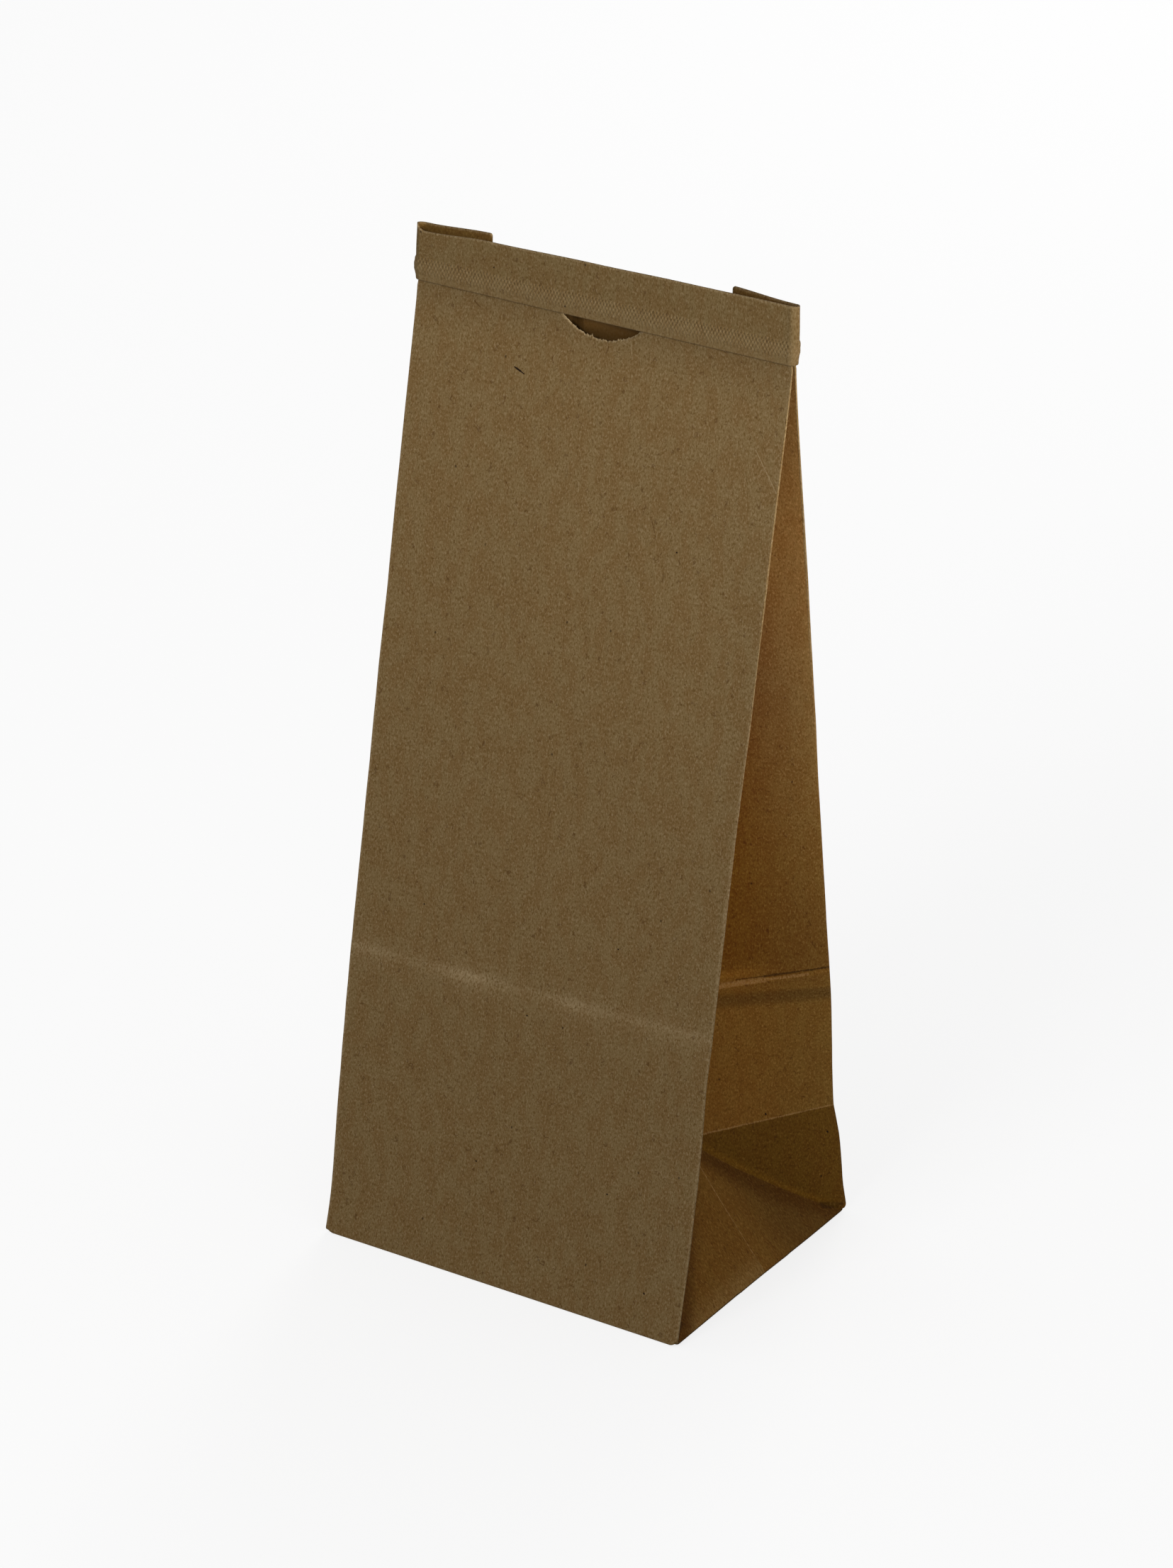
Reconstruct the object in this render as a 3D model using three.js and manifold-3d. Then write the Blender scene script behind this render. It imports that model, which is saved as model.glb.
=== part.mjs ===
// A block bottom coffee bag of brown kraft paper, pinched flat at the mouth and held shut by a tin tie.
// Millimetres, +Z up. The origin is the middle of the base, on the surface that the bag stands on.
// The front panel, with its thumb notch, faces -Y. The tie's two cut ends lie behind the back panel.

import * as THREE from "three";
import { mergeVertices } from "three/addons/utils/BufferGeometryUtils.js";
import Module from "manifold-3d";

const wasm = await Module();
wasm.setup();

// Driving dimensions of the paper bag
const panelWidth = 78.6; // front and back panel, from side fold to side fold
const baseDepth = 64; // block bottom from front to back, and so the width of one side gusset
const mouthHeight = 194.6; // cut edge of the front panel and of the gussets
const lipRise = 0.8; // how far the back panel stands above that edge
const ply = 0.22; // kraft paper with its laminated liner
const panelGap = 0.26; // air between a panel and the gusset inside it, at the pinched mouth
const gussetGap = 0.26; // air between the two halves of a gusset where they fold together
const mouthForward = 1.7; // how far the pinched mouth leans to the front
const tuckHeight = 24.5; // crease where the base tuck ends in the gusset
const tuckPull = 2; // how far that crease draws the back panel in
const pressHeight = 59.5; // crease that the base pressed into the bag when it was folded flat
const pressProud = 0.5; // how far the front panel stands out along that crease
const gussetSteps = 5; // sections between that crease and the pinched mouth
const flapLap = 4; // how far each base flap reaches past the middle of the base
const flapTip = 6.6; // the free edge of a base flap
const seamLap = 12; // width of the glued seam up the back panel
const notchRadius = 12.5; // thumb notch in the front panel, a half circle

// Driving dimensions of the tin tie
const tieHeight = 10.8;
const tieRise = 1.4; // how far the tie's upper edge stands above the mouth
const tiePly = 0.18; // kraft paper, two plies thick outside the ribbon
const tieClearance = 0.15; // air between the tie and the bag
const tabLength = 14; // each cut end, from the side of the bag inwards
const hemHeight = 1.4; // flat hem below the ribbon
const ribbonWidth = 2.4; // soft metal, up the tie
const ribbonThickness = 0.2; // front to back
const ribbonClearance = 0.05; // air round the ribbon in its pocket

// Fineness of the meshes
const notchSegments = 64;
const bendSegments = 6;
const mergeTolerance = 1e-4;
const overrun = 2; // how far a cutter runs past what it cuts

// Sizes that follow
const halfWidth = panelWidth / 2;
const baseLevel = 2 * ply; // underside of the floor, above the two glued flaps
const foldWidth = 2 * ply + panelGap; // a side fold, over the panel and the gusset
const gussetHalf = baseDepth / 2 - foldWidth - gussetGap / 2;
const mouthY = -mouthForward;
const halfStack = foldWidth + gussetGap / 2; // half the thickness of the pinched mouth
const lipHeight = mouthHeight + lipRise;
const tieTop = mouthHeight + tieRise;
const tieBottom = tieTop - tieHeight;
const pinchHeight = tieBottom - 2 * tieClearance; // above this the panels lie flat on each other
const pocketThickness = ribbonThickness + 2 * ribbonClearance;
const ribHeight = ribbonWidth + 2 * tiePly;
const ribBottom = tieBottom + hemHeight;

const kraft = { color: 0x68543a, roughness: 0.9, metalness: 0 };
const tieKraft = { color: 0x6b5640, roughness: 0.85, metalness: 0 };
const softSteel = { color: 0x9a9a98, roughness: 0.4, metalness: 1 };

// Turns a three.js geometry into a solid, leaving out triangles that have no area
function solidOf(geometry) {
  const bare = geometry.index ? geometry.toNonIndexed() : geometry.clone();
  bare.deleteAttribute("normal");
  bare.deleteAttribute("uv");
  const merged = mergeVertices(bare, mergeTolerance);
  const corners = merged.index.array;
  const kept = [];
  for (let i = 0; i < corners.length; i += 3) {
    const [a, b, c] = corners.slice(i, i + 3);
    if (a !== b && b !== c && c !== a) {
      kept.push(a, b, c);
    }
  }
  const mesh = new wasm.Mesh({
    numProp: 3,
    vertProperties: new Float32Array(merged.attributes.position.array),
    triVerts: new Uint32Array(kept),
  });
  return new wasm.Manifold(mesh);
}

// Turns a solid into a named three.js mesh
function meshOf(name, solid, look) {
  const shape = solid.getMesh();
  const geometry = new THREE.BufferGeometry();
  geometry.setAttribute("position", new THREE.BufferAttribute(new Float32Array(shape.vertProperties), 3));
  geometry.setIndex(new THREE.BufferAttribute(new Uint32Array(shape.triVerts), 1));
  geometry.computeVertexNormals();
  const mesh = new THREE.Mesh(geometry, new THREE.MeshStandardMaterial(look));
  mesh.name = name;
  return mesh;
}

// A flat outline raised from one height to another
function prism(shape, bottom, top) {
  const geometry = new THREE.ExtrudeGeometry(shape, {
    depth: top - bottom,
    bevelEnabled: false,
    curveSegments: bendSegments,
  });
  return geometry.translate(0, 0, bottom);
}

// A closed skin over rings of equal count, the lowest convex and all counter-clockwise from above
function loft(rings) {
  const corners = [];
  const put = (...points) => {
    for (const point of points) {
      corners.push(point.x, point.y, point.z);
    }
  };
  for (let k = 0; k + 1 < rings.length; k += 1) {
    const low = rings[k];
    const high = rings[k + 1];
    for (let i = 0; i < low.length; i += 1) {
      const j = (i + 1) % low.length;
      put(low[i], low[j], high[j]);
      put(low[i], high[j], high[i]);
    }
  }
  const floor = rings[0];
  const middle = new THREE.Vector3(0, 0, floor[0].z);
  for (let i = 0; i < floor.length; i += 1) {
    put(middle, floor[(i + 1) % floor.length], floor[i]);
  }
  const lid = rings.at(-1);
  for (const [a, b, c] of THREE.ShapeUtils.triangulateShape([...lid], [])) {
    put(lid[a], lid[b], lid[c]);
  }
  const geometry = new THREE.BufferGeometry();
  geometry.setAttribute("position", new THREE.Float32BufferAttribute(corners, 3));
  return geometry;
}

// The same ring moved inwards by one distance on every side
function inset(ring, distance) {
  const count = ring.length;
  const direction = (i, step) => {
    let j = i;
    do {
      j = (j + step + count) % count;
    } while (ring[j].distanceTo(ring[i]) < mergeTolerance);
    return ring[j].clone().sub(ring[i]).multiplyScalar(step).normalize();
  };
  return ring.map((point, i) => {
    const into = direction(i, -1);
    const out = direction(i, 1);
    const normal = new THREE.Vector3(-into.y - out.y, into.x + out.x, 0);
    return point.clone().addScaledVector(normal, distance / (1 + into.dot(out)));
  });
}

// How far front or back a panel stands at a height, between the [height, place] pairs of its profile
function placeAt(profile, height) {
  const k = profile.findIndex(([z]) => height <= z + mergeTolerance);
  const [highZ, highY] = profile[Math.max(k, 1)];
  const [lowZ, lowY] = profile[Math.max(k, 1) - 1];
  return THREE.MathUtils.mapLinear(height, lowZ, highZ, lowY, highY);
}

// Both panels lean in from the base to the mouth, bent a little where they are creased
const straightFront = [
  [baseLevel, -baseDepth / 2],
  [pinchHeight, mouthY - halfStack],
];
const straightBack = [
  [baseLevel, baseDepth / 2],
  [pinchHeight, mouthY + halfStack],
];
const frontProfile = [
  straightFront[0],
  [pressHeight, placeAt(straightFront, pressHeight) - pressProud],
  straightFront[1],
  [lipHeight, mouthY - halfStack],
];
const backProfile = [
  straightBack[0],
  [tuckHeight, placeAt(straightBack, tuckHeight) - tuckPull],
  [pressHeight, placeAt(straightBack, pressHeight) - pressProud],
  straightBack[1],
  [lipHeight, mouthY + halfStack],
];

// The bag's outline at a height, with each gusset folded in as deep as its paper reaches
function section(height) {
  const front = placeAt(frontProfile, height);
  const back = placeAt(backProfile, height);
  const middle = (front + back) / 2;
  const spread = Math.min((back - front) / 2 - foldWidth - gussetGap / 2, gussetHalf);
  const creaseX = halfWidth - Math.sqrt(gussetHalf ** 2 - spread ** 2);
  const point = (x, y) => new THREE.Vector3(x, y, height);
  const frontFold = point(halfWidth, front + foldWidth);
  const backFold = point(halfWidth, back - foldWidth);
  const frontCrease = point(creaseX, middle - gussetGap / 2);
  const backCrease = point(creaseX, middle + gussetGap / 2);
  const onBase = height <= baseLevel;
  const right = [
    point(halfWidth, front),
    frontFold,
    onBase ? frontFold.clone() : frontCrease.clone(),
    frontCrease,
    backCrease,
    onBase ? backFold.clone() : backCrease.clone(),
    backFold,
    point(halfWidth, back),
  ];
  const left = right.map((corner) => point(-corner.x, corner.y)).reverse();
  return [...right, ...left];
}

// One folded sheet: the walls and floor, the base flaps, the seam, the lip and the thumb notch
function paperBag() {
  const heights = [tuckHeight, pressHeight];
  for (let step = 1; step <= gussetSteps; step += 1) {
    heights.push(THREE.MathUtils.lerp(pressHeight, pinchHeight, step / gussetSteps));
  }
  const upper = [...heights, mouthHeight].map(section);
  const base = section(baseLevel);
  const outside = solidOf(loft([base, ...upper]));

  const raise = (ring, height) => ring.map((corner) => new THREE.Vector3(corner.x, corner.y, height));
  const room = upper.map((ring) => inset(ring, ply));
  const floor = raise(inset(base, ply), baseLevel + ply);
  const sky = raise(room.at(-1), mouthHeight + overrun);
  const inside = solidOf(loft([floor, ...room, sky]));

  const lip = new THREE.BoxGeometry(panelWidth, ply, lipRise + ply);
  lip.translate(0, mouthY + halfStack - ply / 2, lipHeight - (lipRise + ply) / 2);

  return outside
    .subtract(inside)
    .add(solidOf(lip))
    .add(solidOf(baseFlap(-1, ply)))
    .add(solidOf(baseFlap(1, 0)))
    .add(solidOf(backSeam()))
    .subtract(solidOf(thumbNotch()));
}

// A trapezoid folded under the base from the front (-1) or the back (1), glued up against the floor
function baseFlap(side, bottom) {
  const edge = halfWidth - ply;
  const foot = side * (baseDepth / 2 - ply);
  const tip = -side * flapLap;
  const flap = new THREE.Shape([
    new THREE.Vector2(-edge, foot),
    new THREE.Vector2(edge, foot),
    new THREE.Vector2(flapTip / 2, tip),
    new THREE.Vector2(-flapTip / 2, tip),
  ]);
  return prism(flap, bottom, baseLevel + ply / 2);
}

// The seam is a strip one ply proud of the back panel, drawn in the YZ plane and widened along X
function backSeam() {
  const outer = backProfile.map(([z, y]) => new THREE.Vector2(y + ply, z));
  const inner = backProfile.map(([z, y]) => new THREE.Vector2(y - ply / 2, z)).reverse();
  const strip = prism(new THREE.Shape([...outer, ...inner]), -seamLap / 2, seamLap / 2);
  const [x, y, z] = [new THREE.Vector3(1, 0, 0), new THREE.Vector3(0, 1, 0), new THREE.Vector3(0, 0, 1)];
  return strip.applyMatrix4(new THREE.Matrix4().makeBasis(y, z, x));
}

// The notch goes through the front panel and stops in the air before the gussets
function thumbNotch() {
  const back = mouthY - gussetGap / 2 - ply - panelGap / 2;
  const length = halfStack + overrun;
  const disc = new THREE.CylinderGeometry(notchRadius, notchRadius, length, notchSegments);
  return disc.translate(0, back - length / 2, mouthHeight);
}

// The tie seen from above, between two distances out from its inner face
function tieOutline(near, far, endX) {
  const inner = halfStack + tieClearance;
  const bendX = halfWidth - 2 * tieClearance;
  const outline = new THREE.Shape();
  const [close, wide] = [inner + near, inner + far];
  outline.moveTo(-endX, mouthY + wide);
  outline.lineTo(-bendX, mouthY + wide);
  outline.absarc(-bendX, mouthY, wide, Math.PI / 2, (3 * Math.PI) / 2, false);
  outline.lineTo(bendX, mouthY - wide);
  outline.absarc(bendX, mouthY, wide, -Math.PI / 2, Math.PI / 2, false);
  outline.lineTo(endX, mouthY + wide);
  outline.lineTo(endX, mouthY + close);
  outline.lineTo(bendX, mouthY + close);
  outline.absarc(bendX, mouthY, close, Math.PI / 2, -Math.PI / 2, true);
  outline.lineTo(-bendX, mouthY - close);
  outline.absarc(-bendX, mouthY, close, (3 * Math.PI) / 2, Math.PI / 2, true);
  outline.lineTo(-endX, mouthY + close);
  return outline;
}

const tabEnd = halfWidth - tabLength;

// Two plies of kraft, with a rib along it where they part round the ribbon
function tieSleeve() {
  const ribTop = ribBottom + ribHeight;
  const pocketBottom = ribBottom + tiePly - ribbonClearance;
  const pocketTop = ribTop - tiePly + ribbonClearance;
  const band = tieOutline(0, 2 * tiePly, tabEnd);
  const rib = tieOutline(0, 2 * tiePly + pocketThickness, tabEnd);
  const pocket = tieOutline(tiePly, tiePly + pocketThickness, tabEnd - overrun);
  return solidOf(prism(band, tieBottom, tieTop))
    .add(solidOf(prism(rib, ribBottom, ribTop)))
    .subtract(solidOf(prism(pocket, pocketBottom, pocketTop)));
}

// The metal strip fills the pocket but for its clearance, and is cut off with the tabs
function tieRibbon() {
  const near = tiePly + ribbonClearance;
  const strip = tieOutline(near, near + ribbonThickness, tabEnd);
  const bottom = ribBottom + tiePly;
  return solidOf(prism(strip, bottom, bottom + ribbonWidth));
}

const bag = new THREE.Group();
bag.add(meshOf("paper_bag", paperBag(), kraft));
bag.add(meshOf("tie_sleeve", tieSleeve(), tieKraft));
bag.add(meshOf("tie_ribbon", tieRibbon(), softSteel));

export default bag;
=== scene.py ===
# %% [markdown]
# # A block bottom coffee bag in kraft paper
# The object is a small brown paper bag that stands empty on its folded block bottom. Its mouth
# is pinched flat, and a paper covered tin tie is wrapped round it and bent behind both sides.
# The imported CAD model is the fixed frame: it gives every size and place. This script makes the
# paper itself, with its folds, pressed creases, torn thumb notch and knurled tie.

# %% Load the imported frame
import math
from functools import lru_cache, partial

import bmesh
import bpy
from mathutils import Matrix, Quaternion, Vector, noise


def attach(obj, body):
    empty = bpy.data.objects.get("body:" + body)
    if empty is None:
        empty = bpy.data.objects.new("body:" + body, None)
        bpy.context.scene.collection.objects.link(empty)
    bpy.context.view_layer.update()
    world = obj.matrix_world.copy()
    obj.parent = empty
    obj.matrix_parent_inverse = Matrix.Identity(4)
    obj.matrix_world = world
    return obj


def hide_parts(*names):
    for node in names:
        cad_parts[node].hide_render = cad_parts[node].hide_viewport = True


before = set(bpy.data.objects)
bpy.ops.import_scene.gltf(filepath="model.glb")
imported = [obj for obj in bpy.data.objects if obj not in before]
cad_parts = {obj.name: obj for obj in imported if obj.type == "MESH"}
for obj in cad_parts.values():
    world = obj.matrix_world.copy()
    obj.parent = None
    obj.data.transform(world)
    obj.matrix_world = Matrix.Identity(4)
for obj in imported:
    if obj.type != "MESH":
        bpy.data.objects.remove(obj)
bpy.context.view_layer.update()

MM = 0.001

# %% [markdown]
# ## Camera and studio
# The camera comes first, because every later choice was judged against the photograph. It stands
# to the right of the front panel and looks down a little, with a long lens that keeps the folds
# nearly parallel. Blender's camera looks along its own -Z, so a track quaternion turns +Z to the
# eye, and a small roll about that axis follows the hand-held picture.

# %% Place the camera
AIM = Vector((-1.66, -0.99, 93.04)) * MM
EYE_DISTANCE = 1057.1 * MM
AZIMUTH = math.radians(30.93)
ELEVATION = math.radians(24.83)
ROLL = math.radians(1.41)
LENS = 130.2
SENSOR_WIDTH = 36
CLIP_START = 10 * MM

to_eye = Vector((
    math.sin(AZIMUTH) * math.cos(ELEVATION),
    -math.cos(AZIMUTH) * math.cos(ELEVATION),
    math.sin(ELEVATION),
))
camera = bpy.data.objects.new("studio_camera", bpy.data.cameras.new("studio_camera"))
camera.data.lens = LENS
camera.data.sensor_width = SENSOR_WIDTH
camera.data.clip_start = CLIP_START
camera.location = AIM + to_eye * EYE_DISTANCE
camera.rotation_mode = "QUATERNION"
camera.rotation_quaternion = to_eye.to_track_quat("Z", "Y") @ Quaternion((0, 0, 1), ROLL)
bpy.context.scene.collection.objects.link(camera)
bpy.context.scene.camera = camera
bpy.context.scene.view_settings.view_transform = "Standard"
print("camera at", [round(value, 3) for value in camera.location])

# %% [markdown]
# ## Small helpers for node materials
# A procedural material is a chain of small nodes. A few helpers keep the chains readable: they add
# a node, feed a socket with a link or a number, do arithmetic, turn a range of values into a mask
# from 0 to 1, and lay one colour over another.

# %% Helpers for nodes
def add_node(tree, kind, **settings):
    made = tree.nodes.new("ShaderNode" + kind)
    for name, value in settings.items():
        setattr(made, name, value)
    return made


def feed(tree, socket, value):
    if isinstance(value, bpy.types.NodeSocket):
        tree.links.new(value, socket)
    else:
        socket.default_value = value


def calc(tree, operation, first, second=0.0):
    made = add_node(tree, "Math", operation=operation)
    feed(tree, made.inputs[0], first)
    feed(tree, made.inputs[1], second)
    return made.outputs[0]


def mask(tree, value, low, high):
    """0 at low, 1 at high, with a soft slope between. low may be the larger one."""
    made = add_node(tree, "MapRange", interpolation_type="SMOOTHSTEP")
    feed(tree, made.inputs["Value"], value)
    lowest, highest = min(low, high), max(low, high)
    made.inputs["From Min"].default_value = lowest
    made.inputs["From Max"].default_value = highest
    made.inputs["To Min"].default_value = 0.0 if low < high else 1.0
    made.inputs["To Max"].default_value = 1.0 if low < high else 0.0
    return made.outputs["Result"]


def blend(tree, factor, under, over, mode="MIX"):
    made = add_node(tree, "Mix", data_type="RGBA", blend_type=mode)
    feed(tree, made.inputs["Factor"], factor)
    feed(tree, made.inputs["A"], under)
    feed(tree, made.inputs["B"], over)
    return made.outputs["Result"]


def times(tree, first, second):
    return calc(tree, "MULTIPLY", first, second)


def cover(tree, colour, over, factor, strength):
    """Lays a colour over another one where a mask is 1, as strongly as asked."""
    return blend(tree, times(tree, factor, strength), colour, over)


def tint(tree, colour, by, factor=1.0):
    return blend(tree, factor, colour, by, "MULTIPLY")


def mapped(tree, coords, scale, turn=0.0):
    made = add_node(tree, "Mapping")
    feed(tree, made.inputs["Vector"], coords)
    made.inputs["Rotation"].default_value = (0, 0, math.radians(turn))
    made.inputs["Scale"].default_value = scale
    return made.outputs["Vector"]


def split(tree, vector):
    made = add_node(tree, "SeparateXYZ")
    feed(tree, made.inputs["Vector"], vector)
    return made.outputs


def linear(red, green, blue):
    """A colour as a picture gives it, 0 to 255, as the linear colour that a shader takes."""
    parts = [value / 255 for value in (red, green, blue)]
    flat = [((v + 0.055) / 1.055) ** 2.4 if v > 0.04 else v / 12.92 for v in parts]
    return (*flat, 1.0)


def new_material(name):
    material = bpy.data.materials.new(name)
    material.use_nodes = True
    shader = material.node_tree.nodes["Principled BSDF"]
    return material, material.node_tree, shader


print("paper brown as a linear colour:", [round(v, 3) for v in linear(104, 84, 53)])

# %% [markdown]
# ## Floor and light
# A pale floor fills the whole frame, since the camera looks down on it. A soft lamp stands high in
# front, a second one at the right has a narrow beam that reaches into the upper part of the side
# gusset, and a third lights the back. A plain white sky fills the shade. The floor adds some of its
# own white where the camera sees it, which keeps the background pale without lighting the bag. To
# light that bounces off it the floor is greyer, so less of it reaches the gussets from below.

# %% Floor
FLOOR_SIZE = 6.0
FLOOR_GLOW = 0.8
FLOOR_WHITE = (0.95, 0.95, 0.95, 1)
FLOOR_BOUNCE = (0.62, 0.62, 0.62, 1)
FLOOR_ROUGHNESS = 0.95
FLOOR_SHEEN = 0.1


def seen_directly(tree):
    """1 where the camera sees a surface itself, or in a reflection or through glass."""
    rays = add_node(tree, "LightPath").outputs
    seen = calc(tree, "MAXIMUM", rays["Is Camera Ray"], rays["Is Glossy Ray"])
    return calc(tree, "MAXIMUM", seen, rays["Is Transmission Ray"])


floor_mesh = bmesh.new()
bmesh.ops.create_grid(floor_mesh, x_segments=1, y_segments=1, size=FLOOR_SIZE / 2)
floor = bpy.data.objects.new("studio_floor", bpy.data.meshes.new("studio_floor"))
floor_mesh.to_mesh(floor.data)
floor_mesh.free()
bpy.context.scene.collection.objects.link(floor)
floor_paint, floor_tree, floor_shader = new_material("pale_floor")
floor_shader.inputs["Roughness"].default_value = FLOOR_ROUGHNESS
floor_shader.inputs["Specular IOR Level"].default_value = FLOOR_SHEEN
seen = seen_directly(floor_tree)
paint = blend(floor_tree, seen, FLOOR_BOUNCE, FLOOR_WHITE)
feed(floor_tree, floor_shader.inputs["Base Color"], paint)
glow = add_node(floor_tree, "Emission")
mixed = add_node(floor_tree, "MixShader")
feed(floor_tree, mixed.inputs["Fac"], times(floor_tree, seen, FLOOR_GLOW))
feed(floor_tree, mixed.inputs[1], floor_shader.outputs["BSDF"])
feed(floor_tree, mixed.inputs[2], glow.outputs["Emission"])
feed(floor_tree, floor_tree.nodes["Material Output"].inputs["Surface"], mixed.outputs["Shader"])
floor.data.materials.append(floor_paint)
print("floor is", FLOOR_SIZE, "m wide")

# %% Lamps and sky
SKY_STRENGTH = 0.5
SKY_SEEN = 0.91
KEY_PLACE = Vector((-0.05, -1.0, 0.75))
KEY_AIM = Vector((0, 0, 0.1))
KEY_POWER = 5.55
KEY_SIZE = 0.5
SIDE_PLACE = Vector((0.6, -0.1, 0.22))
SIDE_AIM = Vector((0.03, 0, 0.2))
SIDE_POWER = 0.155
SIDE_SIZE = 0.12
SIDE_SPREAD = 26
BACK_PLACE = Vector((-0.25, 1.0, 0.7))
BACK_POWER = 3.6


def add_lamp(name, place, target, size, power, spread=180):
    lamp = bpy.data.lights.new(name, "AREA")
    lamp.shape = "DISK"
    lamp.size = size
    lamp.energy = power
    lamp.spread = math.radians(spread)
    holder = bpy.data.objects.new(name, lamp)
    holder.location = place
    holder.rotation_mode = "QUATERNION"
    holder.rotation_quaternion = (place - target).to_track_quat("Z", "Y")
    bpy.context.scene.collection.objects.link(holder)
    return holder


add_lamp("key_lamp", KEY_PLACE, KEY_AIM, KEY_SIZE, KEY_POWER)
add_lamp("side_lamp", SIDE_PLACE, SIDE_AIM, SIDE_SIZE, SIDE_POWER, SIDE_SPREAD)
add_lamp("back_lamp", BACK_PLACE, KEY_AIM, KEY_SIZE, BACK_POWER)
world = bpy.data.worlds.new("plain_sky")
world.use_nodes = True
sky_tree = world.node_tree
sky = sky_tree.nodes["Background"]
sky.inputs["Color"].default_value = (1, 1, 1, 1)
sky_seen = times(sky_tree, seen_directly(sky_tree), SKY_SEEN)
feed(sky_tree, sky.inputs["Strength"], calc(sky_tree, "MAXIMUM", SKY_STRENGTH, sky_seen))
bpy.context.scene.world = world

# %% [markdown]
# ## The sizes of the bag
# The bag is one tube of kraft paper. Its front and back panels are joined by a gusset at each
# side, which folds inwards along a centre crease. All sizes are the CAD model's, in millimetres,
# and the meshes are scaled to metres at the end. Two heights matter: where the tuck of the block
# bottom ends, and where the folded base pressed a crease into the bag while it was packed flat.

# %% Driving sizes of the bag
HALF_WIDTH = 39.3
HALF_DEPTH = 32.0
MOUTH = 193.9
NOTCH_TOP = 194.6
PINCH = 184.9
TUCK = 24.5
PRESS = 59.5
PLY = 0.22
BASE_LEVEL = 2 * PLY
RIM_LEVEL = 0.05
FOLD_WIDTH = 0.46
GUSSET_GAP = 0.26
GUSSET_HALF = HALF_DEPTH - FOLD_WIDTH - GUSSET_GAP / 2
MOUTH_Y = -1.7
HALF_STACK = 0.83
TIE_SQUEEZE = 0.5
SQUEEZE_START = 184.6
SQUEEZE_END = 187.0
LEFT, RIGHT = -1, 1
FRONT, BACK = -1, 1
print("half gusset in mm:", round(GUSSET_HALF, 2))

# %% [markdown]
# ## Helpers for soft changes
# Paper changes its shape gradually. Four small functions do this all through the shapes: a straight
# ramp from 0 to 1, the same ramp with soft ends, a bell-shaped hump and a smooth noise.

# %% Ramps, humps and noise
def ramp(low, high, value):
    return min(max((value - low) / (high - low), 0.0), 1.0)


def rise(low, high, value):
    k = ramp(low, high, value)
    return k * k * (3 - 2 * k)


def hump(value, middle, width):
    return math.exp(-((value - middle) / width) ** 2)


def wave(*place):
    return noise.noise(Vector(place))


print("a quarter of the way up a soft ramp:", rise(0.0, 4.0, 1.0))

# %% [markdown]
# ## The four folds
# Everything hangs on the four side folds, so they are laid down first. Each is a list of places
# up the sheet of paper: how far along the paper, how far to the front or back, and how high. The
# paper leans in towards the mouth, kinks at both creases and bellies out a little below the
# pressed one. A cubic curve through these places keeps the paper smooth.

# %% Fold curves
FRONT_RIGHT = (
    (0, -32.0, 0.05), (11, -29.6, 11.0), (24.5, -27.3, 25.2), (36, -25.6, 36.8),
    (50, -24.3, 51.2), (59.5, -22.6, 60.9), (75, -20.5, 75.8), (101, -16.4, 101.0),
    (122, -12.5, 122.0), (150, -8.1, 150.0), (176, -3.7, 176.0),
)
FRONT_LEFT = (
    (0, -31.6, 0.05), (11, -29.4, 11.0), (24.5, -27.7, 24.5), (36, -26.25, 35.8),
    (50, -24.4, 49.6), (59.5, -23.1, 58.9), (75, -20.55, 75.0), (101, -16.4, 101.0),
    (122, -13.0, 122.0), (150, -8.3, 150.0), (176, -3.85, 176.0),
)
BACK_RIGHT = (
    (0, 32.0, 0.05), (11, 29.9, 11.0), (18, 28.3, 18.2), (23.5, 26.1, 24.8),
    (24.5, 25.75, 25.9), (25.5, 25.6, 26.9), (36, 24.35, 37.2),
    (50, 22.65, 49.5), (59.5, 21.2, 57.3), (75, 18.1, 75.0), (101, 13.65, 101.0),
    (122, 10.0, 122.0), (150, 5.1, 150.0), (176, 0.35, 176.0),
)
BACK_LEFT = (
    (0, 32.0, 0.05), (11, 29.9, 11.0), (24.5, 25.8, 25.2), (36, 24.2, 36.6),
    (50, 22.6, 50.0), (59.5, 21.0, 58.6), (75, 18.1, 75.0), (101, 13.8, 101.0),
    (122, 10.2, 122.0), (150, 5.3, 150.0), (176, 0.5, 176.0),
)
MOUTH_FRONT = ((PINCH, MOUTH_Y - HALF_STACK, PINCH), (MOUTH, MOUTH_Y - HALF_STACK, MOUTH))
MOUTH_BACK = ((PINCH, MOUTH_Y + HALF_STACK, PINCH), (MOUTH, MOUTH_Y + HALF_STACK, MOUTH))
FOLDS = {
    (RIGHT, FRONT): FRONT_RIGHT + MOUTH_FRONT,
    (LEFT, FRONT): FRONT_LEFT + MOUTH_FRONT,
    (RIGHT, BACK): BACK_RIGHT + MOUTH_BACK,
    (LEFT, BACK): BACK_LEFT + MOUTH_BACK,
}


def slope(stations, index, axis):
    before = stations[max(index - 1, 0)]
    after = stations[min(index + 1, len(stations) - 1)]
    return (after[axis] - before[axis]) / (after[0] - before[0])


@lru_cache(maxsize=None)
def fold(side, face, height):
    """The place of a side fold at a height up the paper."""
    stations = FOLDS[side, face]
    index = 0
    while index < len(stations) - 2 and stations[index + 1][0] <= height:
        index += 1
    low, high = stations[index], stations[index + 1]
    span = high[0] - low[0]
    k = (height - low[0]) / span
    squeeze = ramp(SQUEEZE_START, SQUEEZE_END, height)
    place = [side * (HALF_WIDTH - TIE_SQUEEZE * squeeze)]
    for axis in (1, 2):
        start = low[axis] * (1 + 2 * k) * (1 - k) ** 2 + high[axis] * (3 - 2 * k) * k ** 2
        lean = slope(stations, index, axis) * k * (1 - k) ** 2
        lean -= slope(stations, index + 1, axis) * (1 - k) * k ** 2
        place.append(start + span * lean)
    return Vector(place)


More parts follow.
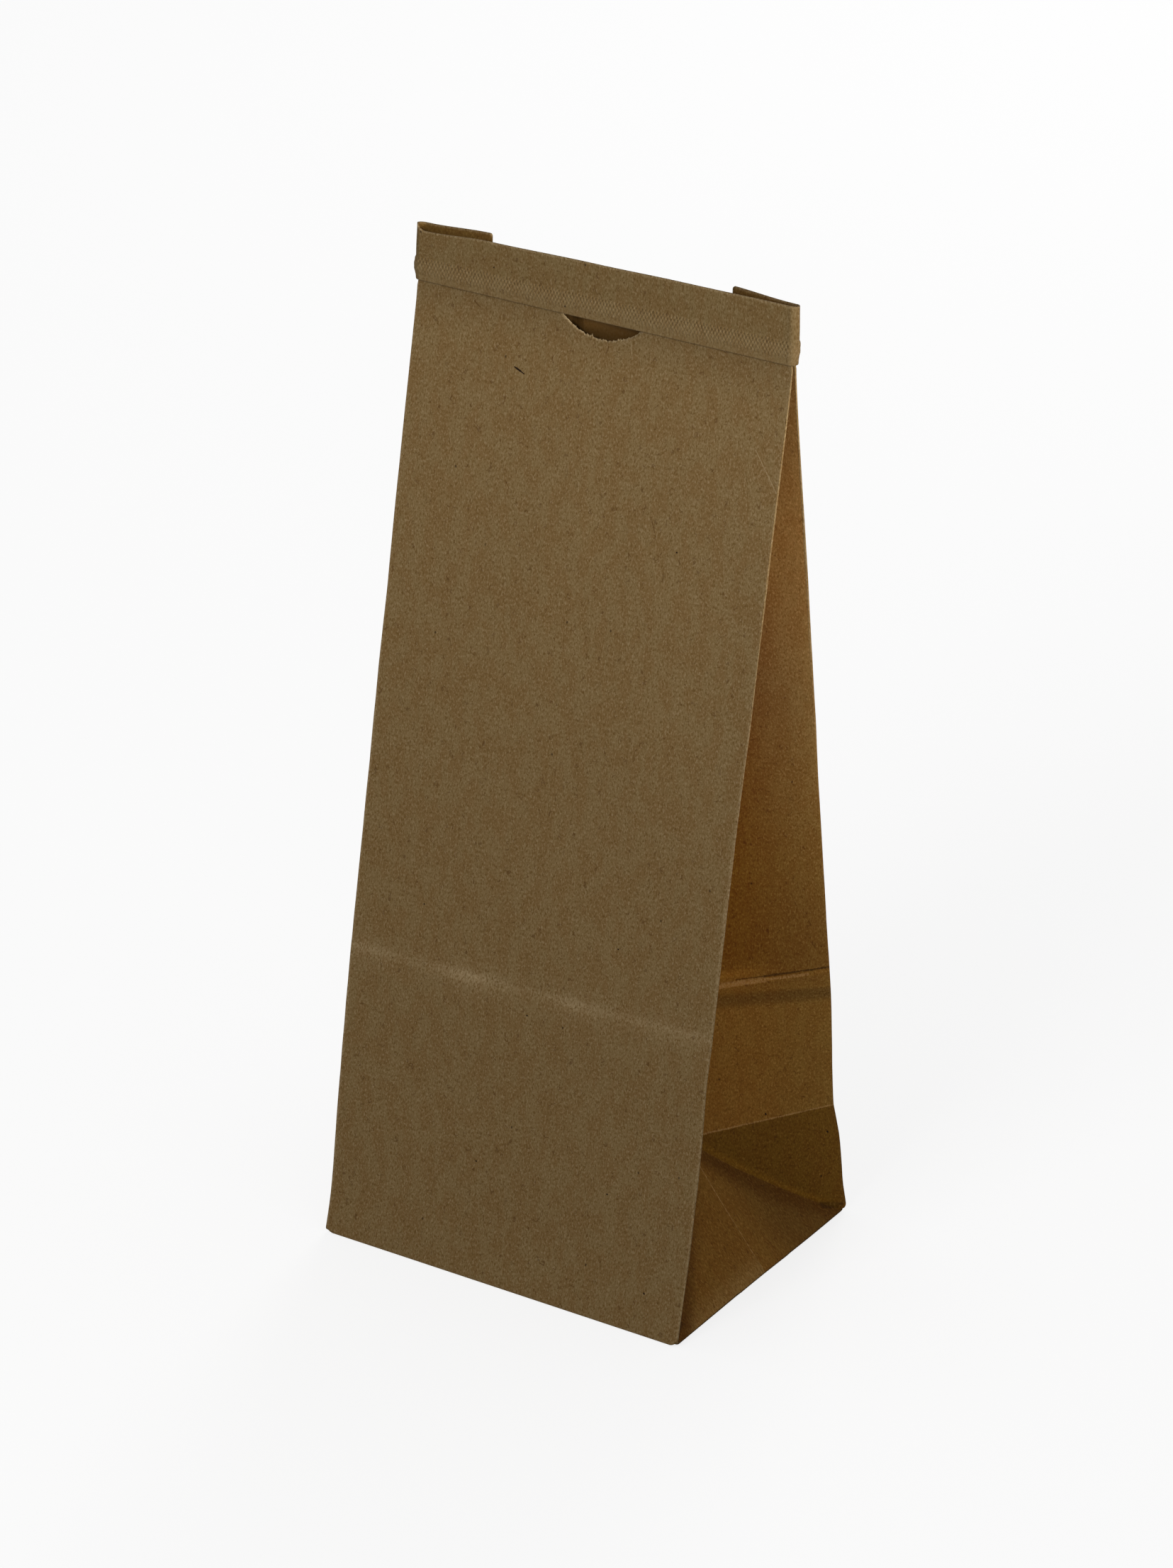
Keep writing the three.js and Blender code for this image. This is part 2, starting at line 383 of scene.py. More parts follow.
print("front right fold at mid height:", [round(v, 1) for v in fold(RIGHT, FRONT, 100.0)])

# %% [markdown]
# ## The base fold and the gusset creases
# Under the bag the panels turn in and become the flaps of the block bottom. The turn is a small
# round, so `turn_under` runs a curve from the wall to the floor. The gusset's centre crease is
# not measured: the paper can't stretch, so its depth follows from the width of the half gusset
# and from how far apart the front and back folds stand.

# %% Edges of the panels and gussets
BASE_ROUND = 0.6
FLAP_LEVEL = {FRONT: PLY + 0.05, BACK: 0.05}
FLAP_CLIMB = 2.0
APEX_DROP = 0.7
FOOT_SHIFT = 1.5
TUCK_SAG = 1.3
DROP_FADE = 75.0
MOUTH_SLACK = 1.4
SLACK_START = 150.0


def turn_under(wall, floor_at, height):
    """Wall above, flap below, and a round between them."""
    if height >= BASE_ROUND:
        return wall(height)
    if height <= -BASE_ROUND:
        return floor_at(-height)
    k = (height + BASE_ROUND) / (2 * BASE_ROUND)
    corner = wall(0.0)
    return floor_at(BASE_ROUND).lerp(corner, k).lerp(corner.lerp(wall(BASE_ROUND), k), k)


@lru_cache(maxsize=None)
def panel_edge(side, face, height):
    """Side of the front or back panel, and below the table line the side of its base flap."""
    level = FLAP_LEVEL[face]
    return turn_under(
        lambda up: fold(side, face, up),
        lambda under: Vector((side * (HALF_WIDTH - under), face * (HALF_DEPTH - under), level)),
        height,
    )


@lru_cache(maxsize=None)
def gusset_edge(side, face, height):
    """Where the gusset starts, just inside the side fold."""
    place = panel_edge(side, face, max(height, 0.0)).copy()
    place.y -= face * FOLD_WIDTH
    place.z = max(place.z, RIM_LEVEL)
    return place


def side_flap(rim, side, under):
    """A point of the side flap: it climbs from the rim on to the panels' flaps."""
    climb = (BASE_LEVEL - RIM_LEVEL) * min(under / FLAP_CLIMB, 1.0)
    return rim + Vector((-side * under, 0, climb))


@lru_cache(maxsize=None)
def crease_edge(side, face, height):
    """Centre crease of the gusset, on its front or back half."""
    if height < TUCK:
        foot = Vector((side * HALF_WIDTH, FOOT_SHIFT + face * GUSSET_GAP / 2, RIM_LEVEL))
        apex = crease_edge(side, face, TUCK)
        return turn_under(
            lambda up: foot.lerp(apex, up / TUCK),
            lambda under: side_flap(foot, side, under),
            height,
        )
    front = gusset_edge(side, FRONT, height)
    back = gusset_edge(side, BACK, height)
    spread = (back.y - front.y - GUSSET_GAP) / 2
    depth = math.sqrt(max(GUSSET_HALF ** 2 - spread ** 2, 0.0))
    depth -= MOUTH_SLACK * ramp(SLACK_START, PINCH, height)
    drop = APEX_DROP * max(1 - (height - TUCK) / DROP_FADE, 0.0) ** 2
    middle = (front + back) / 2
    return Vector((
        middle.x - side * depth,
        middle.y + face * GUSSET_GAP / 2,
        middle.z - drop,
    ))


@lru_cache(maxsize=None)
def tuck_edge(side, face, height):
    """Diagonal fold from the bottom corner of the bag to the apex of the tuck."""
    corner = Vector((side * HALF_WIDTH, fold(side, face, 0.0).y - face * FOLD_WIDTH, RIM_LEVEL))
    apex = crease_edge(side, face, TUCK)
    sag = TUCK_SAG * 4 * (height / TUCK) * (1 - height / TUCK) if height > 0 else 0.0
    place = turn_under(
        lambda up: corner.lerp(apex, up / TUCK),
        lambda under: side_flap(corner, side, under),
        height,
    )
    return place - Vector((0, 0, sag))


print("apex of the right tuck:", [round(v, 1) for v in crease_edge(RIGHT, FRONT, TUCK)])

# %% [markdown]
# ## Sheets of paper
# Each face of the bag is a grid from `create_grid`, whose points are then carried to their place.
# Rows and columns are lists, so a sheet can be fine where it creases or tears and coarse where it
# is flat. Every point also keeps its place on the flat paper, across and up in millimetres, in
# an attribute. The material reads it, so the fibres follow the sheet round every fold.

# %% A helper that lays a sheet
def spread_out(*stops):
    """Values from stop to stop: each later stop is (value, step)."""
    values = [stops[0]]
    for stop, step in stops[1:]:
        start = values[-1]
        count = max(1, round(abs(stop - start) / step))
        values += [start + (stop - start) * (k + 1) / count for k in range(count)]
    return values


def lay_sheet(bm, columns, rows, place):
    """place(column, row) gives the point and where it lies on the flat paper."""
    paper = bm.verts.layers.float_vector["paper"]
    wide, tall = len(columns) - 1, len(rows) - 1
    grid = bmesh.ops.create_grid(bm, x_segments=wide, y_segments=tall, size=0.5)
    for vert in grid["verts"]:
        column = columns[round((vert.co.x + 0.5) * wide)]
        row = rows[round((vert.co.y + 0.5) * tall)]
        vert.co, flat = place(column, row)
        vert[paper] = Vector(flat).to_3d()


WALL_ROWS = spread_out(
    0.0, (1.8, 0.3), (TUCK - 2, 2.0), (TUCK - 0.2, 0.9), (TUCK + 0.2, 0.2), (TUCK + 2, 0.9),
    (PRESS - 10, 2.2), (PRESS - 6, 0.8), (PRESS + 2, 0.4), (PRESS + 6, 0.8), (176, 3.2),
    (MOUTH, 1.2),
)
UPPER_ROWS = [row for row in WALL_ROWS if row >= TUCK - 0.01]
LOWER_ROWS = [row for row in WALL_ROWS if row <= TUCK + 0.01]
print("rows up a wall:", len(WALL_ROWS))

# %% [markdown]
# ## The front panel and its torn notch
# The front panel has a thumb notch in its upper edge, half hidden by the tie. It was punched
# roughly: its edge has small teeth of torn fibre. The top rows of the sheet are squeezed down
# along the notch's curve, and the teeth are a fine noise on it, so the tear is real geometry.

# %% Lay the front panel
NOTCH_HALF = 12.45
NOTCH_DEPTH = 12.5
NOTCH_MIDDLE = 0.1
NOTCH_END = 0.1
NOTCH_ROOM = 176.0
TOOTH_DEPTH = 0.2
TOOTH_FADE = 3.0
COARSE_TEETH = 0.9
FINE_TEETH = 2.3
LOOSE_FIBRES = 4.3
FIBRE_START = 0.2
FIBRE_LENGTH = 0.9
FLAP_REACH = HALF_DEPTH + 4


def front_top(x):
    """Height of the front panel's cut edge. Its teeth fade where the notch runs up to the mouth."""
    across = x - NOTCH_MIDDLE
    if abs(across) >= NOTCH_HALF - NOTCH_END:
        return MOUTH
    dip = NOTCH_DEPTH * math.sqrt(1 - (across / NOTCH_HALF) ** 2)
    teeth = wave(x * COARSE_TEETH, 3.1, 0) + wave(x * FINE_TEETH, 8.2, 0)
    fibre = max(wave(x * LOOSE_FIBRES, 5.6, 0) - FIBRE_START, 0.0)
    rough = max(1 - TOOTH_FADE * (1 - dip / NOTCH_DEPTH), 0.0)
    edge = NOTCH_TOP - dip + rough * (TOOTH_DEPTH * teeth + FIBRE_LENGTH * fibre)
    return min(edge, MOUTH)


def front_point(x, height):
    share = (x / HALF_WIDTH + 1) / 2
    up = height
    if height > NOTCH_ROOM:
        squeeze = (front_top(x) - NOTCH_ROOM) / (MOUTH - NOTCH_ROOM)
        up = NOTCH_ROOM + (height - NOTCH_ROOM) * squeeze
    place = panel_edge(LEFT, FRONT, up).lerp(panel_edge(RIGHT, FRONT, up), share)
    return place, (x, up)


FLAP_ROWS = spread_out(-FLAP_REACH, (-BASE_ROUND, 4.0), (-BASE_ROUND / 2, 0.3))
FRONT_COLUMNS = spread_out(
    -HALF_WIDTH, (2 - HALF_WIDTH, 0.25), (-9.6, 1.3), (9.4, 0.18), (HALF_WIDTH - 2, 1.3),
    (HALF_WIDTH, 0.25),
)

bag_mesh = bmesh.new()
bag_mesh.verts.layers.float_vector.new("paper")
bag_mesh.verts.layers.float.new("wear_and_highlight")
bag_mesh.verts.layers.float_color.new("painted_light")
lay_sheet(bag_mesh, FRONT_COLUMNS, FLAP_ROWS + WALL_ROWS, front_point)
print("front panel:", len(bag_mesh.verts), "points")

# %% [markdown]
# ## Side folds and gussets
# A side fold is a narrow rounded strip between a panel and its gusset. Each gusset has two
# halves. Above the tuck a half is one plain sheet. Below it the paper turns over along a
# diagonal, so it is two triangles: one hangs from the side fold, and one lies back to the base.

# %% Lay the folds and gussets
FOLD_BULGE = 0.14
FOLD_SQUASH = 0.6
SQUASH_START = 165.0
FLAT_FOLD = HALF_WIDTH + FOLD_WIDTH
BACK_FOLD = FLAT_FOLD + 2 * GUSSET_HALF + GUSSET_GAP
SIDE_FLAP = 33.0
FOLD_COLUMNS = spread_out(0.0, (1.0, 0.25))
CREASE_COLUMNS = spread_out(0.0, (1.0, 0.5))
GUSSET_COLUMNS = spread_out(0.0, (0.06, 0.01), (1.0, 0.045))
CORNER_ROWS = spread_out(-BASE_ROUND, (0.0, 0.3))
SIDE_FLAP_ROWS = spread_out(-SIDE_FLAP, (-BASE_ROUND, 8.0), (-BASE_ROUND / 2, 0.3))


def flat_across(side, face, share):
    """Distance across the flat paper from the middle of the front, over half a gusset."""
    if face == BACK:
        return side * (BACK_FOLD - share * GUSSET_HALF)
    return side * (FLAT_FOLD + share * GUSSET_HALF)


def fold_point(side, face, share, height):
    place = panel_edge(side, face, height).lerp(gusset_edge(side, face, height), share)
    squash = 1 - FOLD_SQUASH * ramp(SQUASH_START, PINCH, height)
    place.x += side * FOLD_BULGE * squash * math.sin(math.pi * share)
    across = FLAT_FOLD - (1 - share) * FOLD_WIDTH
    if face == BACK:
        across = BACK_FOLD + (1 - share) * FOLD_WIDTH
    return place, (side * across, height)


def gusset_point(side, face, share, height):
    place = gusset_edge(side, face, height).lerp(crease_edge(side, face, height), share)
    return place, (flat_across(side, face, share), height)


def hanging_point(side, face, share, height):
    place = gusset_edge(side, face, height).lerp(tuck_edge(side, face, height), share)
    return place, (flat_across(side, face, share * height / TUCK), height)


def lying_point(side, face, share, height):
    place = tuck_edge(side, face, height).lerp(crease_edge(side, face, height), share)
    start = max(height, 0.0) / TUCK
    return place, (flat_across(side, face, start + share * (1 - start)), height)


def crease_point(side, share, height):
    place = crease_edge(side, FRONT, height).lerp(crease_edge(side, BACK, height), share)
    across = FLAT_FOLD + GUSSET_HALF + share * GUSSET_GAP
    return place, (side * across, height)


def corner_point(side, face, share, height):
    place = panel_edge(side, face, height).lerp(tuck_edge(side, face, height), share)
    return place, (side * (HALF_WIDTH + share * FOLD_WIDTH), height)


SIDE_SHEETS = (
    (corner_point, FOLD_COLUMNS, CORNER_ROWS),
    (fold_point, FOLD_COLUMNS, WALL_ROWS),
    (gusset_point, GUSSET_COLUMNS, UPPER_ROWS),
    (hanging_point, GUSSET_COLUMNS, LOWER_ROWS),
    (lying_point, GUSSET_COLUMNS, SIDE_FLAP_ROWS + LOWER_ROWS),
)
for side in (LEFT, RIGHT):
    for face in (FRONT, BACK):
        for point, columns, rows in SIDE_SHEETS:
            lay_sheet(bag_mesh, columns, rows, partial(point, side, face))
    lay_sheet(bag_mesh, CREASE_COLUMNS, SIDE_FLAP_ROWS + WALL_ROWS, partial(crease_point, side))
print("with folds and gussets:", len(bag_mesh.verts), "points")

# %% [markdown]
# ## The back panel and its seam
# The tube of paper is closed by a glued seam up the middle of the back. Two sheets overlap
# there: the one from the right lies under, and the one from the left steps over it.

# %% Lay the back panel
SEAM_HALF = 6.0
SEAM_STEP = 0.25
SEAM_SLOPE = 5.0
FLAT_BACK = BACK_FOLD + FOLD_WIDTH


def back_point(side, x, height):
    share = (x / HALF_WIDTH + 1) / 2
    place = panel_edge(LEFT, BACK, height).lerp(panel_edge(RIGHT, BACK, height), share)
    if side == LEFT and height >= 0:
        place.y += SEAM_STEP * rise(-SEAM_HALF - SEAM_SLOPE, -SEAM_HALF, x)
    return place, (side * (FLAT_BACK + HALF_WIDTH - side * x), height)


LEFT_COLUMNS = spread_out(-HALF_WIDTH, (2 - HALF_WIDTH, 0.4), (-12.0, 1.6), (SEAM_HALF, 0.9))
RIGHT_COLUMNS = spread_out(-SEAM_HALF, (HALF_WIDTH - 2, 1.6), (HALF_WIDTH, 0.4))
WHOLE_COLUMNS = LEFT_COLUMNS + [x for x in RIGHT_COLUMNS if x > SEAM_HALF]
lay_sheet(bag_mesh, LEFT_COLUMNS, WALL_ROWS, partial(back_point, LEFT))
lay_sheet(bag_mesh, RIGHT_COLUMNS, WALL_ROWS, partial(back_point, RIGHT))
lay_sheet(bag_mesh, WHOLE_COLUMNS, FLAP_ROWS + [0.0], partial(back_point, RIGHT))
print("with the back:", len(bag_mesh.verts), "points")

# %% [markdown]
# ## Relief of the paper
# Each point of the paper moves along its normal by a small relief: the crease that the base pressed
# into the front, the pinched double crease across the gussets, and the slow waviness of handled
# paper. The bottom corners are rounded too, and the back of the right side bows out a little.

# %% Relief of the front
FRONT_STREAKS = ((-38.0, 7.0, 0.20), (-12.8, 6.5, 0.29), (10.5, 5.5, 0.19), (30.0, 12.0, 0.08))
STREAK_GROUND = 0.12
PRESS_WANDER = 0.5
PRESS_EDGE = 0.4
PRESS_REACH = 2.4
PRESS_TAIL = 5.0
PRESS_END = 8.0


def streak_strength(across):
    """How far the pressed crease stands out. A streak is a place across, a width and a height."""
    strength = STREAK_GROUND
    for middle, width, height in FRONT_STREAKS:
        strength += height * hump(across, middle, width)
    return strength


def front_relief(across, up):
    below = PRESS + PRESS_WANDER * wave(across * 0.12, 0.7, 0) - up
    shape = rise(-PRESS_EDGE, PRESS_REACH, below)
    shape *= math.exp(-max(below - PRESS_REACH, 0.0) / PRESS_TAIL)
    return streak_strength(across) * shape * rise(0.0, PRESS_END, HALF_WIDTH - abs(across))


print("pressed crease at the middle in mm:", round(streak_strength(0.0), 2))

# %% Relief of the gussets
PINCH_FALL = 4.2
PINCH_WANDER = 0.2
PINCH_DEPTH = 0.25
PINCH_WIDTH = 0.3
PINCH_FADE = (0.3, 0.6)
PINCH_RIDGE = 0.35
RIDGE_DROP = 1.0
RIDGE_WIDTH = 0.8
RIDGE_GROWTH = 0.4
RIDGE_START = 0.12


def inward(across):
    """0 at the side folds, 1 at the centre crease of a gusset, below 0 on the panels."""
    return 1 - abs(abs(across) - FLAT_FOLD - GUSSET_HALF - GUSSET_GAP / 2) / GUSSET_HALF


def pinch_line(across):
    """Height of the sharp crease across a gusset, which sinks towards the centre crease."""
    return PRESS - PINCH_FALL * inward(across) + PINCH_WANDER * wave(across * 0.35, 4.4, 0)


def gusset_relief(across, up):
    """A sharp pinch at the side folds, with a ridge under it, that gets softer inwards."""
    depth = max(inward(across), 0.0)
    below = pinch_line(across) - up
    valley = -PINCH_DEPTH * (1 - rise(*PINCH_FADE, depth)) * hump(below, 0.0, PINCH_WIDTH)
    ridge = PINCH_RIDGE * hump(below, RIDGE_DROP, RIDGE_WIDTH + RIDGE_GROWTH * depth)
    return valley + ridge * rise(0.0, RIDGE_START, depth)


print("pinched crease at the centre crease in mm:", round(PRESS - PINCH_FALL, 1))

# %% Waviness and settling
SLOW_WAVE = 0.22
SLOW_SCALE = 0.045
QUICK_WAVE = 0.05
QUICK_SCALE = 0.19
TAUT = (140.0, 178.0)
RELIEF_START = 0.5
RELIEF_FULL = 6.0
NEAR = 0.01
CORNER_RADIUS = 1.7
BACK_BOW = 0.4
BOW_PLACE = (-6.0, 22.0)
BOW_WIDTH = 3.0
SETTLED = (2.0, 8.0)


def cockle(place, up):
    """The waviness of handled paper, which is pulled taut towards the mouth."""
    slow = SLOW_WAVE * noise.noise(place * SLOW_SCALE)
    quick = QUICK_WAVE * noise.noise(place * QUICK_SCALE + Vector((7, 3, 1)))
    return (1 - rise(*TAUT, up)) * (slow + quick)


def relief(place, across, up):
    if up <= RELIEF_START:
        return 0.0
    height = cockle(place, up) * rise(RELIEF_START, RELIEF_FULL, up)
    if abs(across) <= HALF_WIDTH + NEAR:
        height += front_relief(across, up)
    elif FLAT_FOLD - NEAR <= abs(across) <= BACK_FOLD + NEAR:
        height += gusset_relief(across, up)
    return height


def settle(place):
    """Rounds the bottom corners of the bag, and lets the back of its right side bow out."""
    inset = max(HALF_WIDTH - abs(place.x), HALF_DEPTH - abs(place.y), 0.0)
    lift = 0.0
    if inset < CORNER_RADIUS:
        lift = CORNER_RADIUS - math.sqrt(CORNER_RADIUS ** 2 - (CORNER_RADIUS - inset) ** 2)
    bow = BACK_BOW * rise(*BOW_PLACE, place.y) * rise(HALF_WIDTH - BOW_WIDTH, HALF_WIDTH, place.x)
    return Vector((bow, 0, lift)) * (1 - rise(*SETTLED, place.z))


print("a bottom corner lifts by", round(settle(Vector((HALF_WIDTH, -HALF_DEPTH, 0))).z, 2), "mm")

# %% [markdown]
# ## Wear and painted light of the paper
# Two more values are kept with each point, for the material. Wear says how far the fibres are
# rubbed pale: along the side folds and at the torn notch, and on the streaks of the pressed crease,
# where the pale line is partly rubbed fibre and partly a painted highlight. The other value is
# painted light and shade in the gussets: the warmth and shade of light that bounces between two
# faces of paper, painted shade and highlights beside the creases, and, on the panels, a painted
# shadow below the tie.

# %% Wear and painted highlight of the paper
WEAR_START = 1.0
WEAR_SCALE = 0.25
TEAR_FUZZ = 0.4
FOLD_WEAR = 0.55
FOLD_BAND = 0.6
FOLD_CORE = 0.1
HIGH_LOSS = 0.7
HIGH_PART = (90.0, 150.0)
ROUND_WEAR = 0.6
BACK_WEAR = 0.1
STREAK_GAIN = 2.6
STREAK_WEAR_AND_HIGHLIGHT = ((0.7, 0.5, 0.9), (0.3, 1.2, 3.0))


def rubbing_and_highlight(across, up):
    """How far the fibres are made pale: rubbed at the folds and the notch, and on the pressed
    crease partly rubbed and partly a painted highlight. A streak line is a strength, a drop and a
    width.
    """
    if up < WEAR_START:
        return 0.0
    away = abs(across)
    patchy = 0.5 + 0.5 * wave(across * WEAR_SCALE, up * WEAR_SCALE, 5.0)
    fold_wear = FOLD_WEAR * (0.5 + patchy) * (1 - HIGH_LOSS * rise(*HIGH_PART, up))
    if away < NOTCH_HALF and up > front_top(across) - TEAR_FUZZ:
        return 1.0
    if away < HALF_WIDTH + NEAR:
        pale_amount = fold_wear * rise(HALF_WIDTH - FOLD_BAND, HALF_WIDTH - FOLD_CORE, away)
        # Streaks of the pressed crease: partly rubbed fibre, partly a painted highlight on the
        # crease's upper face.
        streak = sum(share * hump(PRESS - up, drop, width) for share, drop, width in STREAK_WEAR_AND_HIGHLIGHT)
        streak *= min(1.0, STREAK_GAIN * streak_strength(across))
        return max(pale_amount, streak * (0.5 + 0.5 * patchy))
    if away < FLAT_FOLD:
        return ROUND_WEAR * fold_wear
    return BACK_WEAR * patchy if inward(across) < 0.001 else 0.0


print("wear of the front fold half way down:", round(rubbing_and_highlight(HALF_WIDTH, 60.0), 2))

# %% Painted light and shade of the gussets
GUSSET_PAINTED_LIGHT = (
    (25.0, (1.60, 1.14, 0.45), (1.42, 1.12, 0.50)),
    (50.0, (1.58, 1.14, 0.45), (1.45, 1.14, 0.52)),
    (62.0, (1.14, 0.70, 0.14), (1.18, 0.87, 0.36)),
    (80.0, (1.14, 0.72, 0.14), (1.28, 1.01, 0.50)),
    (118.0, (0.86, 0.42, 0.08), (1.34, 1.16, 0.86)),
    (132.0, (0.92, 0.45, 0.12), (1.45, 1.19, 0.84)),
    (150.0, (1.55, 1.08, 0.50), (1.55, 1.20, 0.78)),
    (176.0, (1.55, 1.08, 0.50), (1.55, 1.20, 0.78)),
    (182.0, (0.30, 0.17, 0.07), (1.55, 1.20, 0.78)),
    (194.0, (0.30, 0.17, 0.07), (1.55, 1.20, 0.78)),
)
NO_PAINTED_LIGHT = Vector((1, 1, 1))
HANGING_PAINTED_SHADE = Vector((0.98, 0.69, 0.14))
LYING_FRONT_PAINTED_LIGHT = Vector((1.36, 0.98, 0.36))
LYING_BACK_PAINTED_LIGHT = Vector((0.95, 0.70, 0.27))
DIAGONAL_PAINTED_SHADE = Vector((0.72, 0.45, 0.12))
BACK_FOLD_PAINTED_LIGHT = Vector((1.05, 1.05, 1.05))
FOOT_PAINTED_BOUNCE = Vector((1.71, 1.45, 0.97))
FOOT_HEIGHT = 5.0
MIDDLE_DEPTH = 0.6
BACK_FOLD_PART = (95.0, 150.0)
# TIE_SHADE is a painted shadow on the panels just below the tie.
TIE_SHADE = 0.16
TIE_SHADE_DROP = 8
TIE_SHADE_WIDTH = 6.0
FLAP_TOP = -0.7
TUCK_LIGHT = 0.35
TUCK_WIDTH = 0.03
DIAGONAL_FADE = (0.06, 0.26)
PINCH_LIGHT = 0.2
PINCH_LIGHT_INWARDS = 0.45
PINCH_LIGHT_PART = (0.15, 0.55)
PINCH_LIGHT_DROP = 0.75
PINCH_LIGHT_WIDTH = 0.45
SHOULDER_LIGHT = 0.35
SHOULDER_PART = (0.25, 0.6)
SHOULDER_DROP = -1.4
SHOULDER_WIDTH = 1.1
BAND_SHADE = 0.34
BAND_FOOT = (49.8, 51.8)
BAND_TOP = (53.4, 55.0)
BAND_SLANT = 0.6


def upper_painted_light(depth, up):
    """Painted light and shade above the tuck, between two stations of height, inner colour and
    outer colour.
    """
    for low, high in zip(GUSSET_PAINTED_LIGHT, GUSSET_PAINTED_LIGHT[1:]):
        if up <= high[0]:
            share = ramp(low[0], high[0], up)
            middle = Vector(low[1]).lerp(Vector(high[1]), share)
            edge = Vector(low[2]).lerp(Vector(high[2]), share)
            return edge.lerp(middle, rise(0.0, MIDDLE_DEPTH, depth))
    return NO_PAINTED_LIGHT


def pinch_painted_light(across, up):
    """Painted highlights on the ridges beside the pinch, and painted shade in the soft dark band
    below them.
    """
    depth = inward(across)
    below = pinch_line(across) - up
    ridge = PINCH_LIGHT + PINCH_LIGHT_INWARDS * rise(*PINCH_LIGHT_PART, depth)
    ridge *= hump(below, PINCH_LIGHT_DROP, PINCH_LIGHT_WIDTH)
    shoulder = SHOULDER_LIGHT * rise(*SHOULDER_PART, depth)
    shoulder *= hump(below, SHOULDER_DROP, SHOULDER_WIDTH)
    band = BAND_SHADE * rise(*BAND_FOOT, up) * (1 - rise(*BAND_TOP, up + BAND_SLANT * depth))
    return (1 + ridge + shoulder) * (1 - band)


def painted_light(across, up):
    """Painted light: the warmth and shade of light that bounces between two faces of brown paper,
    with painted shade and highlights at the creases and a painted shadow below the tie.
    """
    depth = inward(across)
    behind = abs(across) > FLAT_FOLD + GUSSET_HALF
    if up < FLAP_TOP or depth < -FOLD_WIDTH / GUSSET_HALF or (depth < 0 and not behind):
        # Panels: no painted light, except a painted shadow just below the tie.
        return NO_PAINTED_LIGHT * (1 - TIE_SHADE * hump(up, MOUTH - TIE_SHADE_DROP, TIE_SHADE_WIDTH))
    if up >= TUCK:
        light = upper_painted_light(depth, up)
        if depth < 0:
            light = light.lerp(BACK_FOLD_PAINTED_LIGHT, rise(*BACK_FOLD_PART, up))
        return light * pinch_painted_light(across, up)
    # Below the tuck: painted shade on the hanging triangle and along the diagonal, a painted
    # highlight on its ridge, and painted bounce light at the foot.
    fallen = depth - up / TUCK
    ridge = 1 + TUCK_LIGHT * hump(fallen, -TUCK_WIDTH, TUCK_WIDTH)
    if fallen < 0:
        return HANGING_PAINTED_SHADE * ridge
    if behind:
        lying = LYING_BACK_PAINTED_LIGHT.lerp(LYING_FRONT_PAINTED_LIGHT, rise(0.5, 1.0, depth))
    else:
        lying = FOOT_PAINTED_BOUNCE.lerp(LYING_FRONT_PAINTED_LIGHT, rise(0.0, FOOT_HEIGHT, up))
    return DIAGONAL_PAINTED_SHADE.lerp(lying, rise(*DIAGONAL_FADE, fallen)) * ridge


print("tone deep in a gusset:", [round(v, 2) for v in painted_light(FLAT_FOLD + GUSSET_HALF, 100.0)])

# %% [markdown]
# ## Weld and move the paper
# The sheets share their border points, so merging doubles welds them into one paper tube. Its faces
# are turned to look outwards, and those of the base downwards, so that the normals can be trusted.
# Every move is worked out before the first point is moved, because a move changes the normals.

# %% Weld the sheets and move their points
WELD = 0.03
BASE_TOP = 0.5

bmesh.ops.remove_doubles(bag_mesh, verts=bag_mesh.verts, dist=WELD)
bmesh.ops.recalc_face_normals(bag_mesh, faces=bag_mesh.faces)
base_faces = [face for face in bag_mesh.faces if face.calc_center_median().z < BASE_TOP]
wall_faces = [face for face in bag_mesh.faces if face.calc_center_median().z >= BASE_TOP]
if sum(face.normal.y * face.calc_center_median().y for face in wall_faces) < 0:
    bmesh.ops.reverse_faces(bag_mesh, faces=wall_faces)
bmesh.ops.reverse_faces(bag_mesh, faces=[face for face in base_faces if face.normal.z > 0])
bag_mesh.normal_update()
paper_layer = bag_mesh.verts.layers.float_vector["paper"]
wear_and_highlight_layer = bag_mesh.verts.layers.float["wear_and_highlight"]
painted_light_layer = bag_mesh.verts.layers.float_color["painted_light"]
moves = []
for vert in bag_mesh.verts:
    across, up = vert[paper_layer].xy
    moves.append(vert.normal * relief(vert.co, across, up) + settle(vert.co))
    vert[wear_and_highlight_layer] = rubbing_and_highlight(across, up)
    # Painted light and shade, kept as a vertex colour for the material.
    vert[painted_light_layer] = (*painted_light(across, up), 1.0)
for vert, move in zip(bag_mesh.verts, moves):
    vert.co += move
print("largest relief in mm:", round(max(move.length for move in moves), 2))

# %% [markdown]
# ## Finish the bag's mesh
# Soft shading suits the curved paper, but a fold is crisp, so edges that bend sharply are marked
# sharp. A Solidify modifier then gives the paper its thickness to the inside, and puts a second
# material on the inner side, where the real bag has a thin glossy liner.

# %% Make the bag object
FOLD_SHARP = math.radians(24)
STRIP_SHARP = math.radians(60)
PAPER_THICKNESS = 0.2


def finish_mesh(name, bm, materials, sharp):
    for face in bm.faces:
        face.smooth = True
    for edge in bm.edges:
        if len(edge.link_faces) == 2:
            edge.smooth = edge.calc_face_angle(0.0) < sharp
    bmesh.ops.scale(bm, vec=(MM, MM, MM), verts=bm.verts)
    mesh = bpy.data.meshes.new(name)
    bm.to_mesh(mesh)
    bm.free()
    for material in materials:
        mesh.materials.append(material)
    made = bpy.data.objects.new(name, mesh)
    bpy.context.scene.collection.objects.link(made)
    return made


def thicken(piece, thickness, offset):
    """Offset -1 puts the thickness on the inner side of a sheet, and 0 on both sides."""
    wall = piece.modifiers.new("thickness", "SOLIDIFY")
    wall.thickness = thickness * MM
    wall.offset = offset
    return wall


